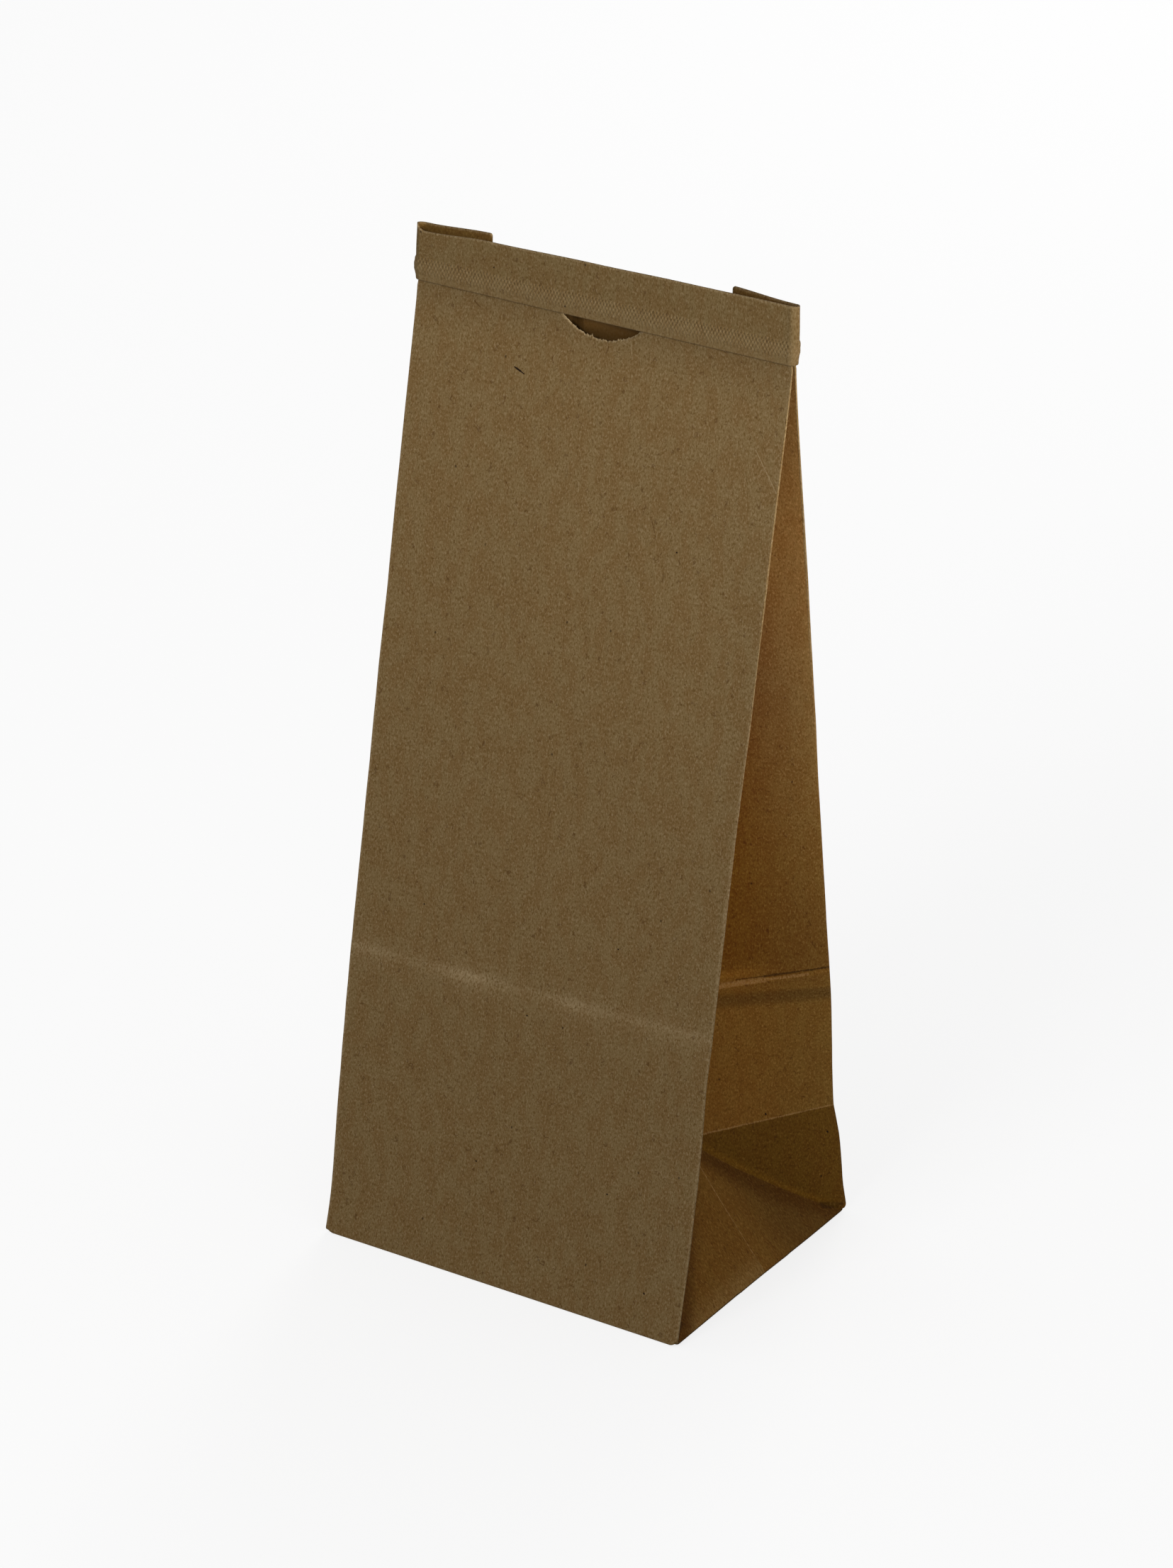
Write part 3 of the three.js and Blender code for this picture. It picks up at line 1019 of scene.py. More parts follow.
kraft, kraft_tree, kraft_shader = new_material("kraft_paper")
liner, liner_tree, liner_shader = new_material("liner_film")
bag = finish_mesh("kraft_bag", bag_mesh, (kraft, liner), FOLD_SHARP)
thicken(bag, PAPER_THICKNESS, -1).material_offset = 1
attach(bag, "root")
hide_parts("paper_bag")
print("bag:", len(bag.data.polygons), "faces before its thickness")

# %% [markdown]
# ## The tin tie
# The tie is a strip of kraft paper folded round a flat metal ribbon. It lies across the front of
# the mouth, bends round both sides and ends in two short tabs behind the bag. It is one grid: its
# columns run along the strip, and its rows run down the inner ply, round the hem and up the
# outer ply. Over the ribbon the outer ply is pressed into rows of tiny slanted strokes.

# %% Sizes of the tie
TIE_BOTTOM = 185.45
TIE_HEIGHT = 10.5
TIE_PLY = 0.18
TIE_CLEARANCE = 0.15
TIE_INNER = HALF_STACK + TIE_CLEARANCE
BEND_X = 38.65
LEFT_TAB_END = 24.6
RIGHT_TAB_END = 25.4
LEFT_TAB = BEND_X - LEFT_TAB_END
RIGHT_TAB = BEND_X - RIGHT_TAB_END
BEND_RUN = math.pi * (TIE_INNER + TIE_PLY)
FRONT_RUN = 2 * BEND_X
TIE_RUN = LEFT_TAB + RIGHT_TAB + 2 * BEND_RUN + FRONT_RUN
LEFT_BEND = LEFT_TAB + BEND_RUN
RIGHT_BEND = LEFT_BEND + FRONT_RUN
RIGHT_TAB_OPEN = 0.6
print("strip of the tie in mm:", round(TIE_RUN, 1))

# %% Path of the tie
def tie_path(run, out, blunt=2.0):
    """Plan place at a distance along the strip, out from the tie's inner face. A bend is round
    where blunt is 2, and pointed where it is near 1, as paper is when creased by hand."""
    radius = TIE_INNER + out
    along = run - LEFT_BEND - BEND_X
    if abs(along) <= BEND_X:
        return along, MOUTH_Y - radius
    side = LEFT if along < 0 else RIGHT
    past = abs(along) - BEND_X
    if past > BEND_RUN:
        return side * (BEND_X + BEND_RUN - past), MOUTH_Y + radius
    swing = -math.cos(math.pi * past / BEND_RUN)
    reach = math.sqrt(1 - abs(swing) ** blunt)
    return side * (BEND_X + radius * reach), MOUTH_Y + radius * swing


def tab_opening(run):
    """How far the right tab stands off the bag, more towards its end."""
    return RIGHT_TAB_OPEN * (max(run - RIGHT_BEND - BEND_RUN, 0.0) / RIGHT_TAB) ** 2


print("middle of the tie:", [round(v, 2) for v in tie_path(TIE_RUN / 2, 0.0)])

# %% [markdown]
# ## The knurled rib
# A toothed roller pressed the outer ply on to the ribbon. It left rows of short slanted dents,
# with thin rising ridges between them that cross the whole rib as a lattice. The top row is the
# deepest. The dents are real geometry: the strip's columns are a tenth of a millimetre apart,
# which a long thin mesh can afford. The depth is kept with each point for the material, which
# paints shade into the dents and makes the ridges pale, partly as rubbed fibre and partly as a
# painted highlight.

# %% Section of the tie
DENT_PITCH = 0.7
DENT_SLANT = 0.55
DENT_TOP = 4.25
DENT_FOOT = 1.5
DENT_MARGIN = 0.3
DENT_DEPTH = 0.14
DENT_HALF_WIDTH = 0.17
DENT_HALF_LENGTH = 0.24
DENT_WANDER = 0.15
ROW_WANDER = 0.08
ROW_EDGE = (-0.2, 0.05)
TOP_ROW = (0.4, 0.9)
TOP_ROW_LOSS = 0.5
LOW_ROWS = (1.0, 2.6)
LOW_ROW_LOSS = 0.2
DEPTH_MEAN = 0.85
DEPTH_SPREAD = 0.4
RIDGE_HALF_WIDTH = 0.09
RIDGE_SHARE = 0.2
RIDGE_BELOW = 0.4
FALLING_SHARE = 0.7
RIB_RISE = 0.2
RIB_FOOT = (0.7, 2.4)
RIB_TOP = (3.9, 4.6)


def dents(run, high):
    """The roller's lattice: up to 1 in a slanted dent, and below 0 on the ridges between."""
    if not DENT_FOOT - DENT_MARGIN <= high <= DENT_TOP + DENT_MARGIN:
        return 0.0
    lift = DENT_TOP - high + ROW_WANDER * wave(run * 0.4, 1.0, 0)
    along = run + DENT_WANDER * wave(run * 0.3, 2.0, 0)
    falling = (along - DENT_SLANT * lift) / DENT_PITCH
    rising = (along + DENT_SLANT * lift) / DENT_PITCH
    off_falling = abs(falling - round(falling)) * DENT_PITCH
    off_rising = abs(rising - round(rising)) * DENT_PITCH
    dent = hump(off_falling, 0.0, DENT_HALF_WIDTH) * hump(off_rising, 0.0, DENT_HALF_LENGTH)
    ridge = max(
        hump(off_rising, DENT_PITCH / 2, RIDGE_HALF_WIDTH),
        FALLING_SHARE * hump(off_falling, DENT_PITCH / 2, RIDGE_HALF_WIDTH),
    )
    depth = 1.0 - TOP_ROW_LOSS * rise(*TOP_ROW, lift) - LOW_ROW_LOSS * rise(*LOW_ROWS, lift)
    depth *= DEPTH_MEAN + DEPTH_SPREAD * wave(run * 0.35, high * 0.5, 3.0)
    zone = rise(DENT_FOOT - DENT_MARGIN, DENT_FOOT + DENT_MARGIN, high) * rise(*ROW_EDGE, lift)
    return zone * (depth * dent - RIDGE_SHARE * ridge * rise(0.0, RIDGE_BELOW, lift))


def rib(high):
    """How far the outer ply stands off the inner one, over hem, ribbon and plain band."""
    return TIE_PLY * 1.5 + RIB_RISE * rise(*RIB_FOOT, high) * (1 - rise(*RIB_TOP, high))


INNER_ROWS = [(TIE_PLY / 2, high) for high in spread_out(TIE_HEIGHT, (0.2, 2.6))]
HEM_ROWS = [(0.11, 0.06), (0.18, 0.0), (0.25, 0.06)]
OUTER_HEIGHTS = spread_out(
    0.2, (1.7, 0.5), (4.6, 0.145), (5.4, 0.4), (9.6, 1.4), (TIE_HEIGHT, 0.45),
)
TIE_ROWS = INNER_ROWS + HEM_ROWS + [(rib(high), high) for high in OUTER_HEIGHTS]
print("rows round the tie:", len(TIE_ROWS))

# %% [markdown]
# ## Lay the tie
# A handled tie isn't exact. Its upper edge climbs to the right, the cut ends have soft corners,
# the left bend bulges over the ribbon, and the right tab stands open a little. These are small
# smooth shifts of the points, and the strip still lies on the bag from every side.

# %% Make the tie object
TOP_EDGE = (
    (0.0, 196.5), (LEFT_TAB, 195.8), (LEFT_TAB + BEND_RUN / 2, 196.0),
    (LEFT_BEND, 195.3), (LEFT_BEND + 0.9, 195.0), (LEFT_BEND + 15, 195.8),
    (LEFT_BEND + 37, 196.15), (LEFT_BEND + 55, 196.4), (RIGHT_BEND, 196.55),
    (RIGHT_BEND + BEND_RUN, 196.2), (TIE_RUN, 196.7),
)
TOP_STRETCH = 4.5
EDGE_FUZZ = 0.03
CORNER_ROUND = 0.45
LEFT_BULGE = 0.2
BULGE_SPAN = 0.6
BULGE_FOOT = (0.2, 1.8)
BULGE_TOP = (2.6, 4.2)
BLUNT_START = 5.0
BLUNT_LOW = 2.0
BLUNT_TOP = 1.05
THIN_PLY = 0.16
TIE_STEP = 0.115
HEM_LINE = 0.1
HEM_SHADE = 0.9
INNER_SHADE = 3.0


def top_edge(run):
    for (start, low), (stop, high) in zip(TOP_EDGE, TOP_EDGE[1:]):
        if run <= stop:
            return low + (high - low) * rise(start, stop, run)
    return TOP_EDGE[-1][1]


def tie_point(run, row):
    """A point of the strip, kept with its run, its height and how pressed or shaded it is."""
    out, high = row
    pressed = dents(run, high)
    # Painted shadow along the hem's foot (HEM_SHADE), and painted shade on the inner ply
    # (INNER_SHADE).
    shade = HEM_SHADE if high < HEM_LINE else pressed
    if out < TIE_PLY:
        pressed = 0.0
        shade = INNER_SHADE
    blunt = BLUNT_LOW + (BLUNT_TOP - BLUNT_LOW) * rise(BLUNT_START, TIE_HEIGHT, high)
    x, y = tie_path(run, out - DENT_DEPTH * pressed, blunt)
    bend = hump(run, LEFT_TAB + BEND_RUN / 2, BEND_RUN * BULGE_SPAN)
    x -= LEFT_BULGE * bend * rise(*BULGE_FOOT, high) * (1 - rise(*BULGE_TOP, high))
    y += tab_opening(run)
    full = top_edge(run) - EDGE_FUZZ * abs(wave(run * 1.3, out * 3, 0))
    short = max(CORNER_ROUND - min(run, TIE_RUN - run), 0.0)
    full -= CORNER_ROUND - math.sqrt(CORNER_ROUND ** 2 - short ** 2)
    z = TIE_BOTTOM + high
    z += (full - TIE_BOTTOM - TIE_HEIGHT) * rise(TOP_STRETCH, TIE_HEIGHT, high)
    return Vector((x, y, z)), (run, high, shade)


tie_mesh = bmesh.new()
tie_mesh.verts.layers.float_vector.new("paper")
lay_sheet(tie_mesh, spread_out(0.0, (TIE_RUN, TIE_STEP)), TIE_ROWS, tie_point)
bmesh.ops.recalc_face_normals(tie_mesh, faces=tie_mesh.faces)
tie_kraft, tie_tree, tie_shader = new_material("tie_paper")
tie = finish_mesh("tie_strip", tie_mesh, (tie_kraft,), STRIP_SHARP)
thicken(tie, THIN_PLY, 0)
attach(tie, "root")
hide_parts("tie_sleeve")
print("tie:", len(tie.data.polygons), "faces before its thickness")

# %% [markdown]
# ## The ribbon in the tie
# The soft metal ribbon is what holds the tie's bends. It is hidden in its pocket, so a narrow
# grid along the same path with a thin Solidify is enough, and it follows the paper exactly.

# %% Make the ribbon
RIBBON_LOW = 1.7
RIBBON_HIGH = 4.0
RIBBON_OUT = 0.25
RIBBON_THICKNESS = 0.1
RIBBON_END = 0.5
RIBBON_COLUMNS = spread_out(RIBBON_END, (TIE_RUN - RIBBON_END, 0.3))
RIBBON_ROWS = spread_out(RIBBON_LOW, (RIBBON_HIGH, 0.6))


def ribbon_point(run, high):
    x, y = tie_path(run, RIBBON_OUT)
    return Vector((x, y + tab_opening(run), TIE_BOTTOM + high)), (run, high)


ribbon_mesh = bmesh.new()
ribbon_mesh.verts.layers.float_vector.new("paper")
lay_sheet(ribbon_mesh, RIBBON_COLUMNS, RIBBON_ROWS, ribbon_point)
bmesh.ops.recalc_face_normals(ribbon_mesh, faces=ribbon_mesh.faces)
metal, metal_tree, metal_shader = new_material("tinned_ribbon")
ribbon = finish_mesh("tie_metal_ribbon", ribbon_mesh, (metal,), STRIP_SHARP)
thicken(ribbon, RIBBON_THICKNESS, 0)
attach(ribbon, "root")
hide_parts("tie_ribbon")
print("ribbon:", len(ribbon.data.polygons), "faces before its thickness")

# %% [markdown]
# ## Kraft paper
# Brown kraft paper is mottled: clouds of paler and redder pulp a few millimetres across, a fine
# grain of fibres that lies mostly up the sheet, curled brown hairs, and a few dark flecks of bark.
# Every layer reads the flat place on the paper, in millimetres, so the scales are real sizes.

# %% Helpers for fibre layers
def stretched_noise(tree, coords, turn, wide, long, detail=2.0, curl=0.0):
    """Noise drawn out into streaks: wide and long are in millimetres, and curl bends it."""
    pattern = add_node(tree, "TexNoise", noise_dimensions="2D")
    feed(tree, pattern.inputs["Vector"], mapped(tree, coords, (1 / wide, 1 / long, 1), turn))
    pattern.inputs["Scale"].default_value = 1.0
    pattern.inputs["Detail"].default_value = detail
    pattern.inputs["Distortion"].default_value = curl
    return pattern.outputs["Fac"]


def curled_hairs(tree, coords, size, thin, amount):
    """Thin curled lines where a noise crosses its middle, broken up by a second noise."""
    curls = stretched_noise(tree, coords, turn=10, wide=size, long=size * 1.6, detail=1.0)
    line = calc(tree, "ABSOLUTE", calc(tree, "SUBTRACT", curls, 0.5))
    breaks = stretched_noise(tree, coords, turn=40, wide=size * 1.1, long=size * 1.3, detail=0.0)
    kept = mask(tree, breaks, amount, amount + 0.08)
    return times(tree, mask(tree, line, thin, 0.0), kept)


def bark_flecks(tree, coords, spacing, radius, amount):
    """Small dark dots, in some cells of a loose net."""
    cells = add_node(tree, "TexVoronoi", voronoi_dimensions="2D")
    feed(tree, cells.inputs["Vector"], mapped(tree, coords, (1 / spacing, 0.7 / spacing, 1)))
    cells.inputs["Scale"].default_value = 1.0
    picked = add_node(tree, "SeparateColor")
    feed(tree, picked.inputs["Color"], cells.outputs["Color"])
    chosen = mask(tree, picked.outputs["Red"], amount, amount + 0.02)
    near = mask(tree, cells.outputs["Distance"], radius / spacing, radius * 0.4 / spacing)
    return times(tree, near, chosen)


def weighted(tree, *layers):
    """Sum of noise layers, each given as (layer, weight)."""
    total = times(tree, *layers[0])
    for layer, weight in layers[1:]:
        total = calc(tree, "ADD", total, times(tree, layer, weight))
    return total


print("fibre helpers ready")

# %% The colours of the paper
PAPER_DEEP = linear(88, 66, 32)
PAPER_PALE = linear(122, 102, 72)
PAPER_RED = linear(102, 79, 46)
PAPER_GREY = linear(106, 86, 54)
HAIR_BROWN = linear(64, 38, 6)
BARK_AND_SHADOW_BROWN = linear(22, 9, 0)
WORN_FIBRE_AND_HIGHLIGHT = linear(150, 131, 100)
PALE_CREASE = linear(166, 128, 80)
DENT_SHADE_BROWN = linear(62, 45, 22)
HAIR_STRENGTH = 0.55
FLECK_STRENGTH = 0.7
PAPER_ROUGHNESS = 0.9
PAPER_SHEEN = 0.12
BUMP_STRENGTH = 0.2
BUMP_DISTANCE = 0.06 * MM


def kraft_layers(tree):
    """Returns the flat coordinates, the mottled colour and the grain, which also makes the bump."""
    flat = add_node(tree, "Attribute", attribute_name="paper").outputs["Vector"]
    clouds = stretched_noise(tree, flat, turn=6, wide=2.8, long=6.0, detail=4.0)
    up_fibres = stretched_noise(tree, flat, turn=8, wide=0.22, long=0.6, detail=1.0, curl=0.3)
    lean_fibres = stretched_noise(tree, flat, turn=-48, wide=0.22, long=0.45, detail=1.0, curl=0.3)
    pulp = stretched_noise(tree, flat, turn=0, wide=0.42, long=0.55, detail=2.0, curl=0.5)
    grain = weighted(tree, (up_fibres, 0.28), (lean_fibres, 0.24), (pulp, 0.48))
    mottled = blend(tree, mask(tree, clouds, 0.38, 0.62), PAPER_RED, PAPER_GREY)
    colour = blend(tree, mask(tree, grain, 0.51, 0.32), mottled, PAPER_DEEP)
    colour = blend(tree, mask(tree, grain, 0.49, 0.7), colour, PAPER_PALE)
    hairs = curled_hairs(tree, flat, size=1.3, thin=0.035, amount=0.62)
    colour = cover(tree, colour, HAIR_BROWN, hairs, HAIR_STRENGTH)
    flecks = bark_flecks(tree, flat, spacing=9.0, radius=0.25, amount=0.85)
    colour = cover(tree, colour, BARK_AND_SHADOW_BROWN, flecks, FLECK_STRENGTH)
    return flat, colour, grain


def paper_surface(tree, shader, colour, grain):
    feed(tree, shader.inputs["Base Color"], colour)
    shader.inputs["Roughness"].default_value = PAPER_ROUGHNESS
    shader.inputs["Specular IOR Level"].default_value = PAPER_SHEEN
    bump = add_node(tree, "Bump")
    bump.inputs["Strength"].default_value = BUMP_STRENGTH
    bump.inputs["Distance"].default_value = BUMP_DISTANCE
    feed(tree, bump.inputs["Height"], grain)
    feed(tree, shader.inputs["Normal"], bump.outputs["Normal"])


print("pale pulp as a linear colour:", [round(v, 3) for v in PAPER_PALE[:3]])

# %% [markdown]
# ## Marks on the paper
# A few marks stand out on the real sheet: specks of bark, loose hairs and pale scratches. Each is a
# short stroke between two places on the flat paper, with a half width, all in millimetres.

# %% Helpers for marks
def vector_calc(tree, operation, first, second):
    made = add_node(tree, "VectorMath", operation=operation)
    feed(tree, made.inputs[0], first)
    feed(tree, made.inputs[1], second)
    return made.outputs


def stroke(tree, coords, start, end, half_width):
    """1 on the line from start to end, 0 beside it."""
    start = Vector(start).to_3d()
    run = Vector(end).to_3d() - start
    local = vector_calc(tree, "SUBTRACT", coords, start)["Vector"]
    share = vector_calc(tree, "DOT_PRODUCT", local, run / max(run.length_squared, 0.0001))
    clamped = add_node(tree, "Clamp")
    feed(tree, clamped.inputs["Value"], share["Value"])
    reach = add_node(tree, "VectorMath", operation="SCALE")
    reach.inputs[0].default_value = run
    feed(tree, reach.inputs["Scale"], clamped.outputs["Result"])
    gap = vector_calc(tree, "DISTANCE", local, reach.outputs["Vector"])["Value"]
    return mask(tree, gap, half_width, half_width * 0.4)


def strokes(tree, coords, marks):
    total = 0.0
    for start, end, half_width in marks:
        total = calc(tree, "MAXIMUM", total, stroke(tree, coords, start, end, half_width))
    return total


print("mark helpers ready")

# %% Marks on the bag
BARK_MARKS = (
    ((-17.1, 173.6), (-15.0, 172.75), 0.16),
    ((-16.7, 173.45), (-15.7, 173.05), 0.26),
    ((20.5, 147.5), (20.6, 147.5), 0.2),
    ((0.3, 54.4), (0.4, 54.4), 0.2),
    ((-24.3, 70.1), (-24.2, 70.1), 0.18),
    ((17.9, 71.7), (18.0, 71.7), 0.18),
    ((-7.9, 23.1), (-7.8, 23.1), 0.2),
    ((20.8, 24.4), (20.9, 24.4), 0.2),
    ((30.9, 8.3), (31.0, 8.2), 0.22),
    ((BACK_FOLD - 14.1, 25.9), (BACK_FOLD - 14.0, 25.6), 0.2),
    ((BACK_FOLD - 2.0, 19.4), (BACK_FOLD - 1.9, 19.2), 0.22),
)
LOOSE_HAIRS = (
    ((-26.9, 183.8), (-25.6, 182.9), 0.14),
    ((1.9, 181.2), (1.5, 179.8), 0.12),
    ((-9.3, 177.2), (-9.5, 176.5), 0.12),
    ((-9.4, 176.5), (-9.0, 175.7), 0.1),
    ((14.4, 152.7), (15.6, 150.0), 0.1),
    ((-13.7, 12.5), (-13.7, 11.3), 0.11),
    ((8.2, 7.5), (9.1, 7.4), 0.12),
    ((29.0, 184.0), (29.2, 183.9), 0.17),
    ((BACK_FOLD - 19.3, 41.4), (BACK_FOLD - 18.7, 40.4), 0.16),
    ((BACK_FOLD - 7.7, 33.9), (BACK_FOLD - 7.4, 33.3), 0.14),
    ((BACK_FOLD - 6.5, 28.0), (BACK_FOLD - 5.7, 27.6), 0.16),
    ((BACK_FOLD - 30.8, 9.7), (BACK_FOLD - 30.6, 9.4), 0.15),
    ((BACK_FOLD - 34.8, 11.5), (BACK_FOLD - 34.7, 11.3), 0.14),
    ((BACK_FOLD - 41.8, 11.2), (BACK_FOLD - 41.7, 11.1), 0.14),
)
PALE_SCRATCHES = (
    ((6.3, 183.1), (6.8, 180.5), 0.1),
    ((33.9, 169.1), (39.0, 162.4), 0.14),
)
LOOSE_STRENGTH = 0.65
SCRATCH_STRENGTH = 0.35

flat, bag_colour, bag_grain = kraft_layers(kraft_tree)
bark = strokes(kraft_tree, flat, BARK_MARKS)
bag_colour = blend(kraft_tree, bark, bag_colour, BARK_AND_SHADOW_BROWN)
loose = strokes(kraft_tree, flat, LOOSE_HAIRS)
bag_colour = cover(kraft_tree, bag_colour, HAIR_BROWN, loose, LOOSE_STRENGTH)
scratch = strokes(kraft_tree, flat, PALE_SCRATCHES)
bag_colour = cover(kraft_tree, bag_colour, WORN_FIBRE_AND_HIGHLIGHT, scratch, SCRATCH_STRENGTH)
print("marks on the bag:", len(BARK_MARKS) + len(LOOSE_HAIRS) + len(PALE_SCRATCHES))

# %% [markdown]
# ## Creases of the gussets
# The gussets are folded alike, so their creases are drawn once, in places counted inwards from the
# nearer side fold: a painted shadow along the pinched line with a painted highlight on the ridge
# under it, painted shade in the pinched bottom corner, the pale line of the tuck, and a thin centre
# crease. Painted light and rubbed fibres come last, since they lie over everything else.

# %% Creases of the gussets
CREASE_AT = GUSSET_HALF + GUSSET_GAP / 2
PINCH_PAINTED_SHADOW = (
    ((-0.4, 59.55), (7.5, 58.5), 0.24),
    ((7.5, 58.5), (12.5, 57.85), 0.32),
    ((12.5, 57.85), (18.0, 57.25), 0.13),
)
CORNER_PAINTED_SHADE = (((0.8, 1.6), (4.4, 3.0), 1.0),)
PALE_CREASES_AND_HIGHLIGHTS = (
    ((-0.4, TUCK + 0.05), (CREASE_AT, TUCK + 0.05), 0.24),
    ((CREASE_AT, 8.0), (CREASE_AT, 23.0), 0.17),
    ((CREASE_AT, 1.0), (CREASE_AT, 8.0), 0.12),
    ((4.0, 58.2), (12.5, 57.15), 0.4),
    ((12.5, 57.15), (22.0, 55.9), 0.8),
)
CREASE_JITTER = 0.3
PINCH_SHADOW_STRENGTH = 0.6
CORNER_SHADE_STRENGTH = 0.45


def gusset_place(tree, coords):
    """Flat place in a gusset, counted inwards from the nearer side fold, with a slight jitter."""
    across, up = split(tree, coords)[:2]
    off = calc(tree, "SUBTRACT", calc(tree, "ABSOLUTE", across), FLAT_FOLD + CREASE_AT)
    jitter = calc(tree, "SUBTRACT", stretched_noise(tree, coords, turn=0, wide=0.9, long=0.9), 0.5)
    place = add_node(tree, "CombineXYZ")
    inwards = calc(tree, "SUBTRACT", CREASE_AT, calc(tree, "ABSOLUTE", off))
    feed(tree, place.inputs["X"], inwards)
    feed(tree, place.inputs["Y"], calc(tree, "ADD", up, times(tree, jitter, CREASE_JITTER)))
    return place.outputs["Vector"]


in_gusset = gusset_place(kraft_tree, flat)
# Painted shadow along the pinched crease.
pinch_shadow = strokes(kraft_tree, in_gusset, PINCH_PAINTED_SHADOW)
bag_colour = cover(kraft_tree, bag_colour, BARK_AND_SHADOW_BROWN, pinch_shadow, PINCH_SHADOW_STRENGTH)
# Painted shade in the pinched bottom corner.
corner = strokes(kraft_tree, in_gusset, CORNER_PAINTED_SHADE)
bag_colour = cover(kraft_tree, bag_colour, BARK_AND_SHADOW_BROWN, corner, CORNER_SHADE_STRENGTH)
inside = mask(kraft_tree, split(kraft_tree, in_gusset)["X"], -0.2, 0.6)
glints = times(kraft_tree, inside, mask(kraft_tree, bag_grain, 0.5, 0.72))
# Pale lines of the tuck and centre crease, and a painted highlight on the ridge below the pinch.
pale_crease_and_highlight = strokes(kraft_tree, in_gusset, PALE_CREASES_AND_HIGHLIGHTS)
pale_crease_and_highlight = times(kraft_tree, pale_crease_and_highlight, mask(kraft_tree, bag_grain, 0.25, 0.7))
print("creases of a gusset:", len(PINCH_PAINTED_SHADOW) + len(CORNER_PAINTED_SHADE) + len(PALE_CREASES_AND_HIGHLIGHTS))

# %% Painted light and wear of the bag's paper
GLINT_STRENGTH = 0.1
CREASE_STRENGTH = 0.75
WEAR_AND_HIGHLIGHT_STRENGTH = 0.75

painted_light_colour = add_node(kraft_tree, "Attribute", attribute_name="painted_light").outputs["Color"]
# The gussets' painted light and shade multiply the paper's colour.
bag_colour = tint(kraft_tree, bag_colour, painted_light_colour)
bag_colour = cover(kraft_tree, bag_colour, PALE_CREASE, glints, GLINT_STRENGTH)
bag_colour = cover(kraft_tree, bag_colour, PALE_CREASE, pale_crease_and_highlight, CREASE_STRENGTH)
wear_and_highlight = add_node(kraft_tree, "Attribute", attribute_name="wear_and_highlight").outputs["Fac"]
# Rubbed pale fibres, with a painted highlight along the pressed crease.
pale_amount = times(kraft_tree, wear_and_highlight, mask(kraft_tree, bag_grain, 0.25, 0.68))
bag_colour = cover(kraft_tree, bag_colour, WORN_FIBRE_AND_HIGHLIGHT, pale_amount, WEAR_AND_HIGHLIGHT_STRENGTH)
paper_surface(kraft_tree, kraft_shader, bag_colour, bag_grain)
print("nodes in the bag's paper:", len(kraft_tree.nodes))

# %% [markdown]
# ## The tie's paper, the liner and the ribbon
# The tie is cut from the same kraft paper. Its pressed dents and the foot of its hem get painted
# shade, the ridges between the dents are pale, partly rubbed and partly a painted highlight, its
# upper cut edge is fuzzy and pale, partly loose cut fibres and partly a painted highlight, and its
# inner ply and its right bend get painted shade. The paper is paler below the top of the rib. The
# bag's inner side has a thin film that shines a little. The ribbon inside the tie is soft tinned
# steel, with faint rolling lines along its length.

# %% Paper of the tie
TIE_MARKS = (
    ((48.9, 1.45), (49.0, 1.5), 0.24),
    ((33.7, 5.7), (33.8, 5.8), 0.18),
)
INNER_PAINTED_SHADE = (1.15, 0.95, 0.5, 1.0)
BEND_PAINTED_SHADE = (0.76, 0.75, 0.73, 1.0)
TIE_TINT = (0.84, 0.85, 0.83, 1.0)
MARK_STRENGTH = 0.85
DENT_SHADE_STRENGTH = 0.45
RIDGE_WEAR_AND_HIGHLIGHT_STRENGTH = 0.3
RIB_STRENGTH = 0.13
FUZZ_AND_HIGHLIGHT_STRENGTH = 0.5
FUZZ_HEIGHT = 0.5

tie_flat, tie_colour, tie_grain = kraft_layers(tie_tree)
along_tie, up_tie, pressed = split(tie_tree, tie_flat)
dots = strokes(tie_tree, mapped(tie_tree, tie_flat, (1, 1, 0)), TIE_MARKS)
tie_colour = cover(tie_tree, tie_colour, BARK_AND_SHADOW_BROWN, dots, MARK_STRENGTH)
# Painted shade in the dents and along the hem.
dark = mask(tie_tree, pressed, 0.1, 0.8)
tie_colour = cover(tie_tree, tie_colour, DENT_SHADE_BROWN, dark, DENT_SHADE_STRENGTH)
# Painted shade on the inner ply, which faces the bag.
inner_ply = mask(tie_tree, pressed, 1.0, INNER_SHADE - 1.0)
tie_colour = tint(tie_tree, tie_colour, INNER_PAINTED_SHADE, inner_ply)
# Pale ridges: partly rubbed fibre, partly a painted highlight.
ridges = mask(tie_tree, pressed, -0.04, -0.2)
tie_colour = cover(tie_tree, tie_colour, WORN_FIBRE_AND_HIGHLIGHT, ridges, RIDGE_WEAR_AND_HIGHLIGHT_STRENGTH)
tie_colour = tint(tie_tree, tie_colour, TIE_TINT)
# Paler below the top of the rib.
pale_rib_band = mask(tie_tree, up_tie, 4.7, 4.1)
tie_colour = cover(tie_tree, tie_colour, PAPER_PALE, pale_rib_band, RIB_STRENGTH)
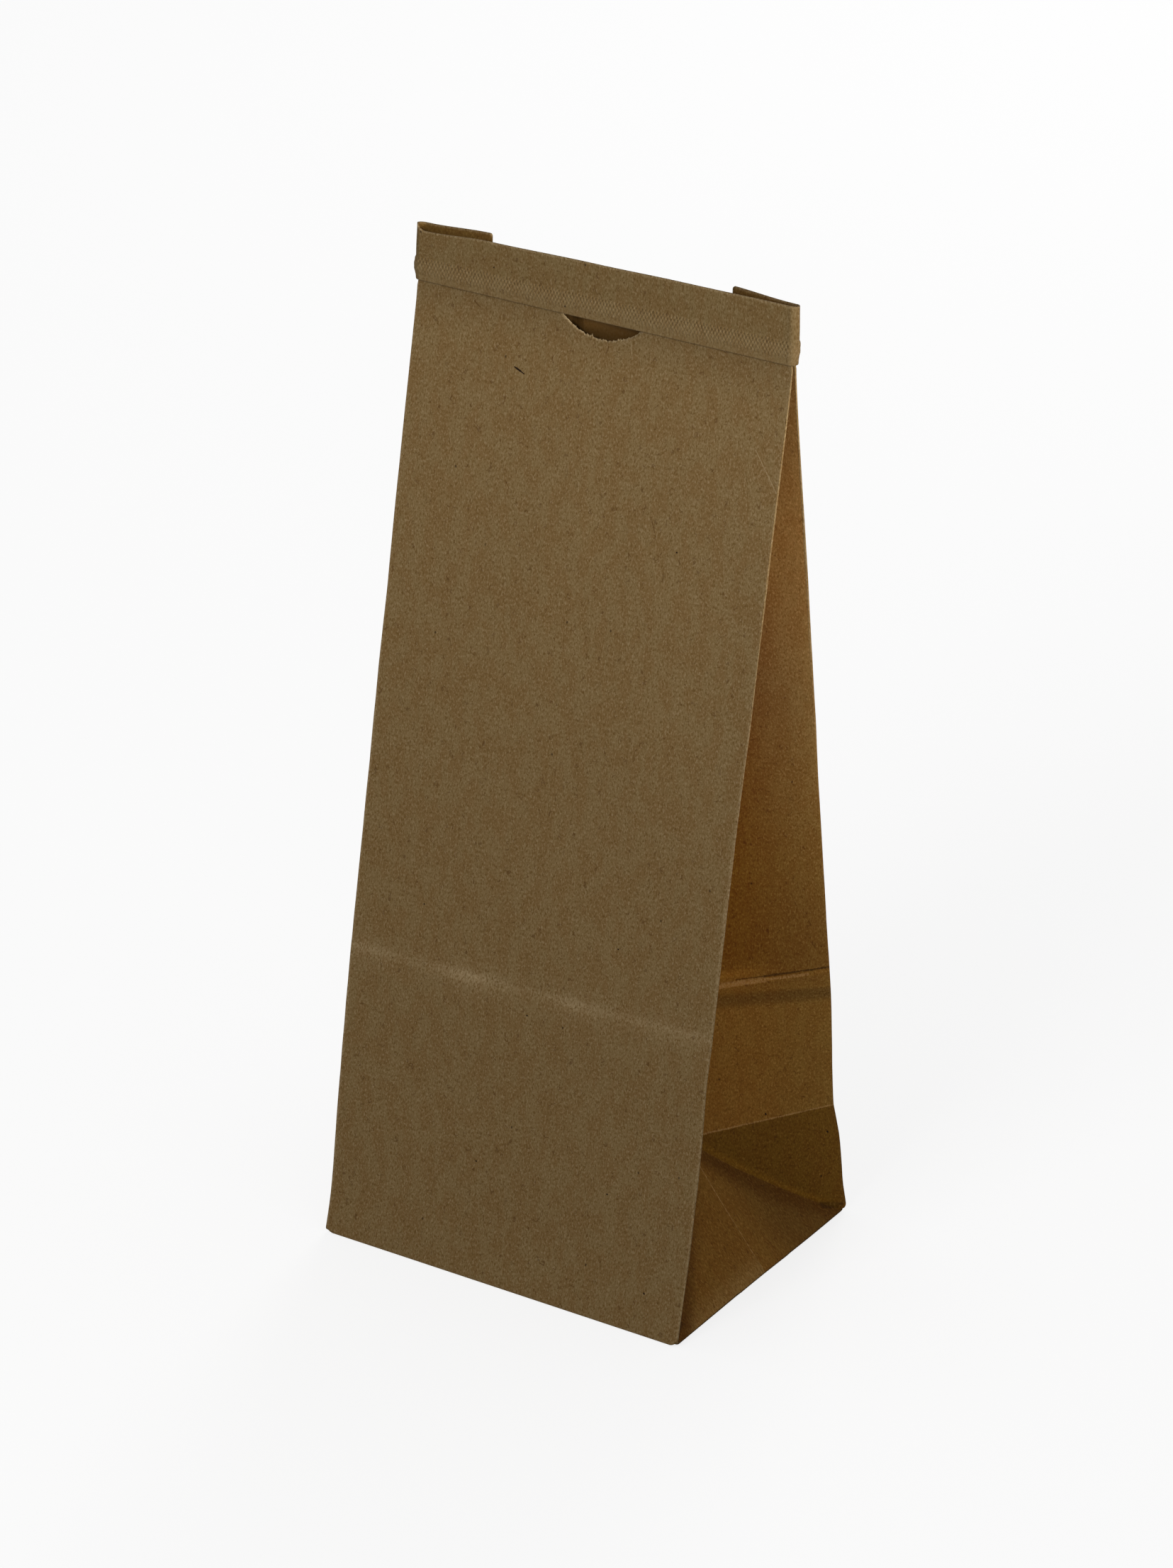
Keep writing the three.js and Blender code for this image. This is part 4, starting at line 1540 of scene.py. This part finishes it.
# Pale top edge: partly loose cut fibres, partly a painted highlight where the edge faces up.
cut_edge_fuzz_and_highlight = mask(tie_tree, up_tie, TIE_HEIGHT - FUZZ_HEIGHT, TIE_HEIGHT)
cut_edge_fuzz_and_highlight = times(tie_tree, cut_edge_fuzz_and_highlight, mask(tie_tree, tie_grain, 0.25, 0.75))
tie_colour = cover(tie_tree, tie_colour, WORN_FIBRE_AND_HIGHLIGHT, cut_edge_fuzz_and_highlight, FUZZ_AND_HIGHLIGHT_STRENGTH)
# Painted shade over the right bend and the right tab.
bent = mask(tie_tree, along_tie, RIGHT_BEND - 0.8, RIGHT_BEND + 0.6)
tie_colour = tint(tie_tree, tie_colour, BEND_PAINTED_SHADE, bent)
paper_surface(tie_tree, tie_shader, tie_colour, tie_grain)
print("nodes in the tie's paper:", len(tie_tree.nodes))

# %% Liner film
FILM_BROWN = linear(80, 53, 18)
FILM_COVER = 0.8
FILM_ROUGHNESS = 0.55
FILM_SHEEN = 0.06

liner_colour = kraft_layers(liner_tree)[1]
film = blend(liner_tree, FILM_COVER, liner_colour, FILM_BROWN)
feed(liner_tree, liner_shader.inputs["Base Color"], film)
liner_shader.inputs["Roughness"].default_value = FILM_ROUGHNESS
liner_shader.inputs["Specular IOR Level"].default_value = FILM_SHEEN
print("nodes in the liner:", len(liner_tree.nodes))

# %% Tinned ribbon
TIN_DARK = (0.42, 0.42, 0.41, 1)
TIN_PALE = (0.62, 0.62, 0.6, 1)
TIN_ROUGHNESS = 0.42
ROLLING_SCALE = (40, 40, 4000)

spot = add_node(metal_tree, "TexCoord").outputs["Object"]
lines = add_node(metal_tree, "TexNoise")
feed(metal_tree, lines.inputs["Vector"], mapped(metal_tree, spot, ROLLING_SCALE))
lines.inputs["Scale"].default_value = 1.0
tin = blend(metal_tree, lines.outputs["Fac"], TIN_DARK, TIN_PALE)
feed(metal_tree, metal_shader.inputs["Base Color"], tin)
metal_shader.inputs["Metallic"].default_value = 1.0
metal_shader.inputs["Roughness"].default_value = TIN_ROUGHNESS
print("nodes in the ribbon's metal:", len(metal_tree.nodes))
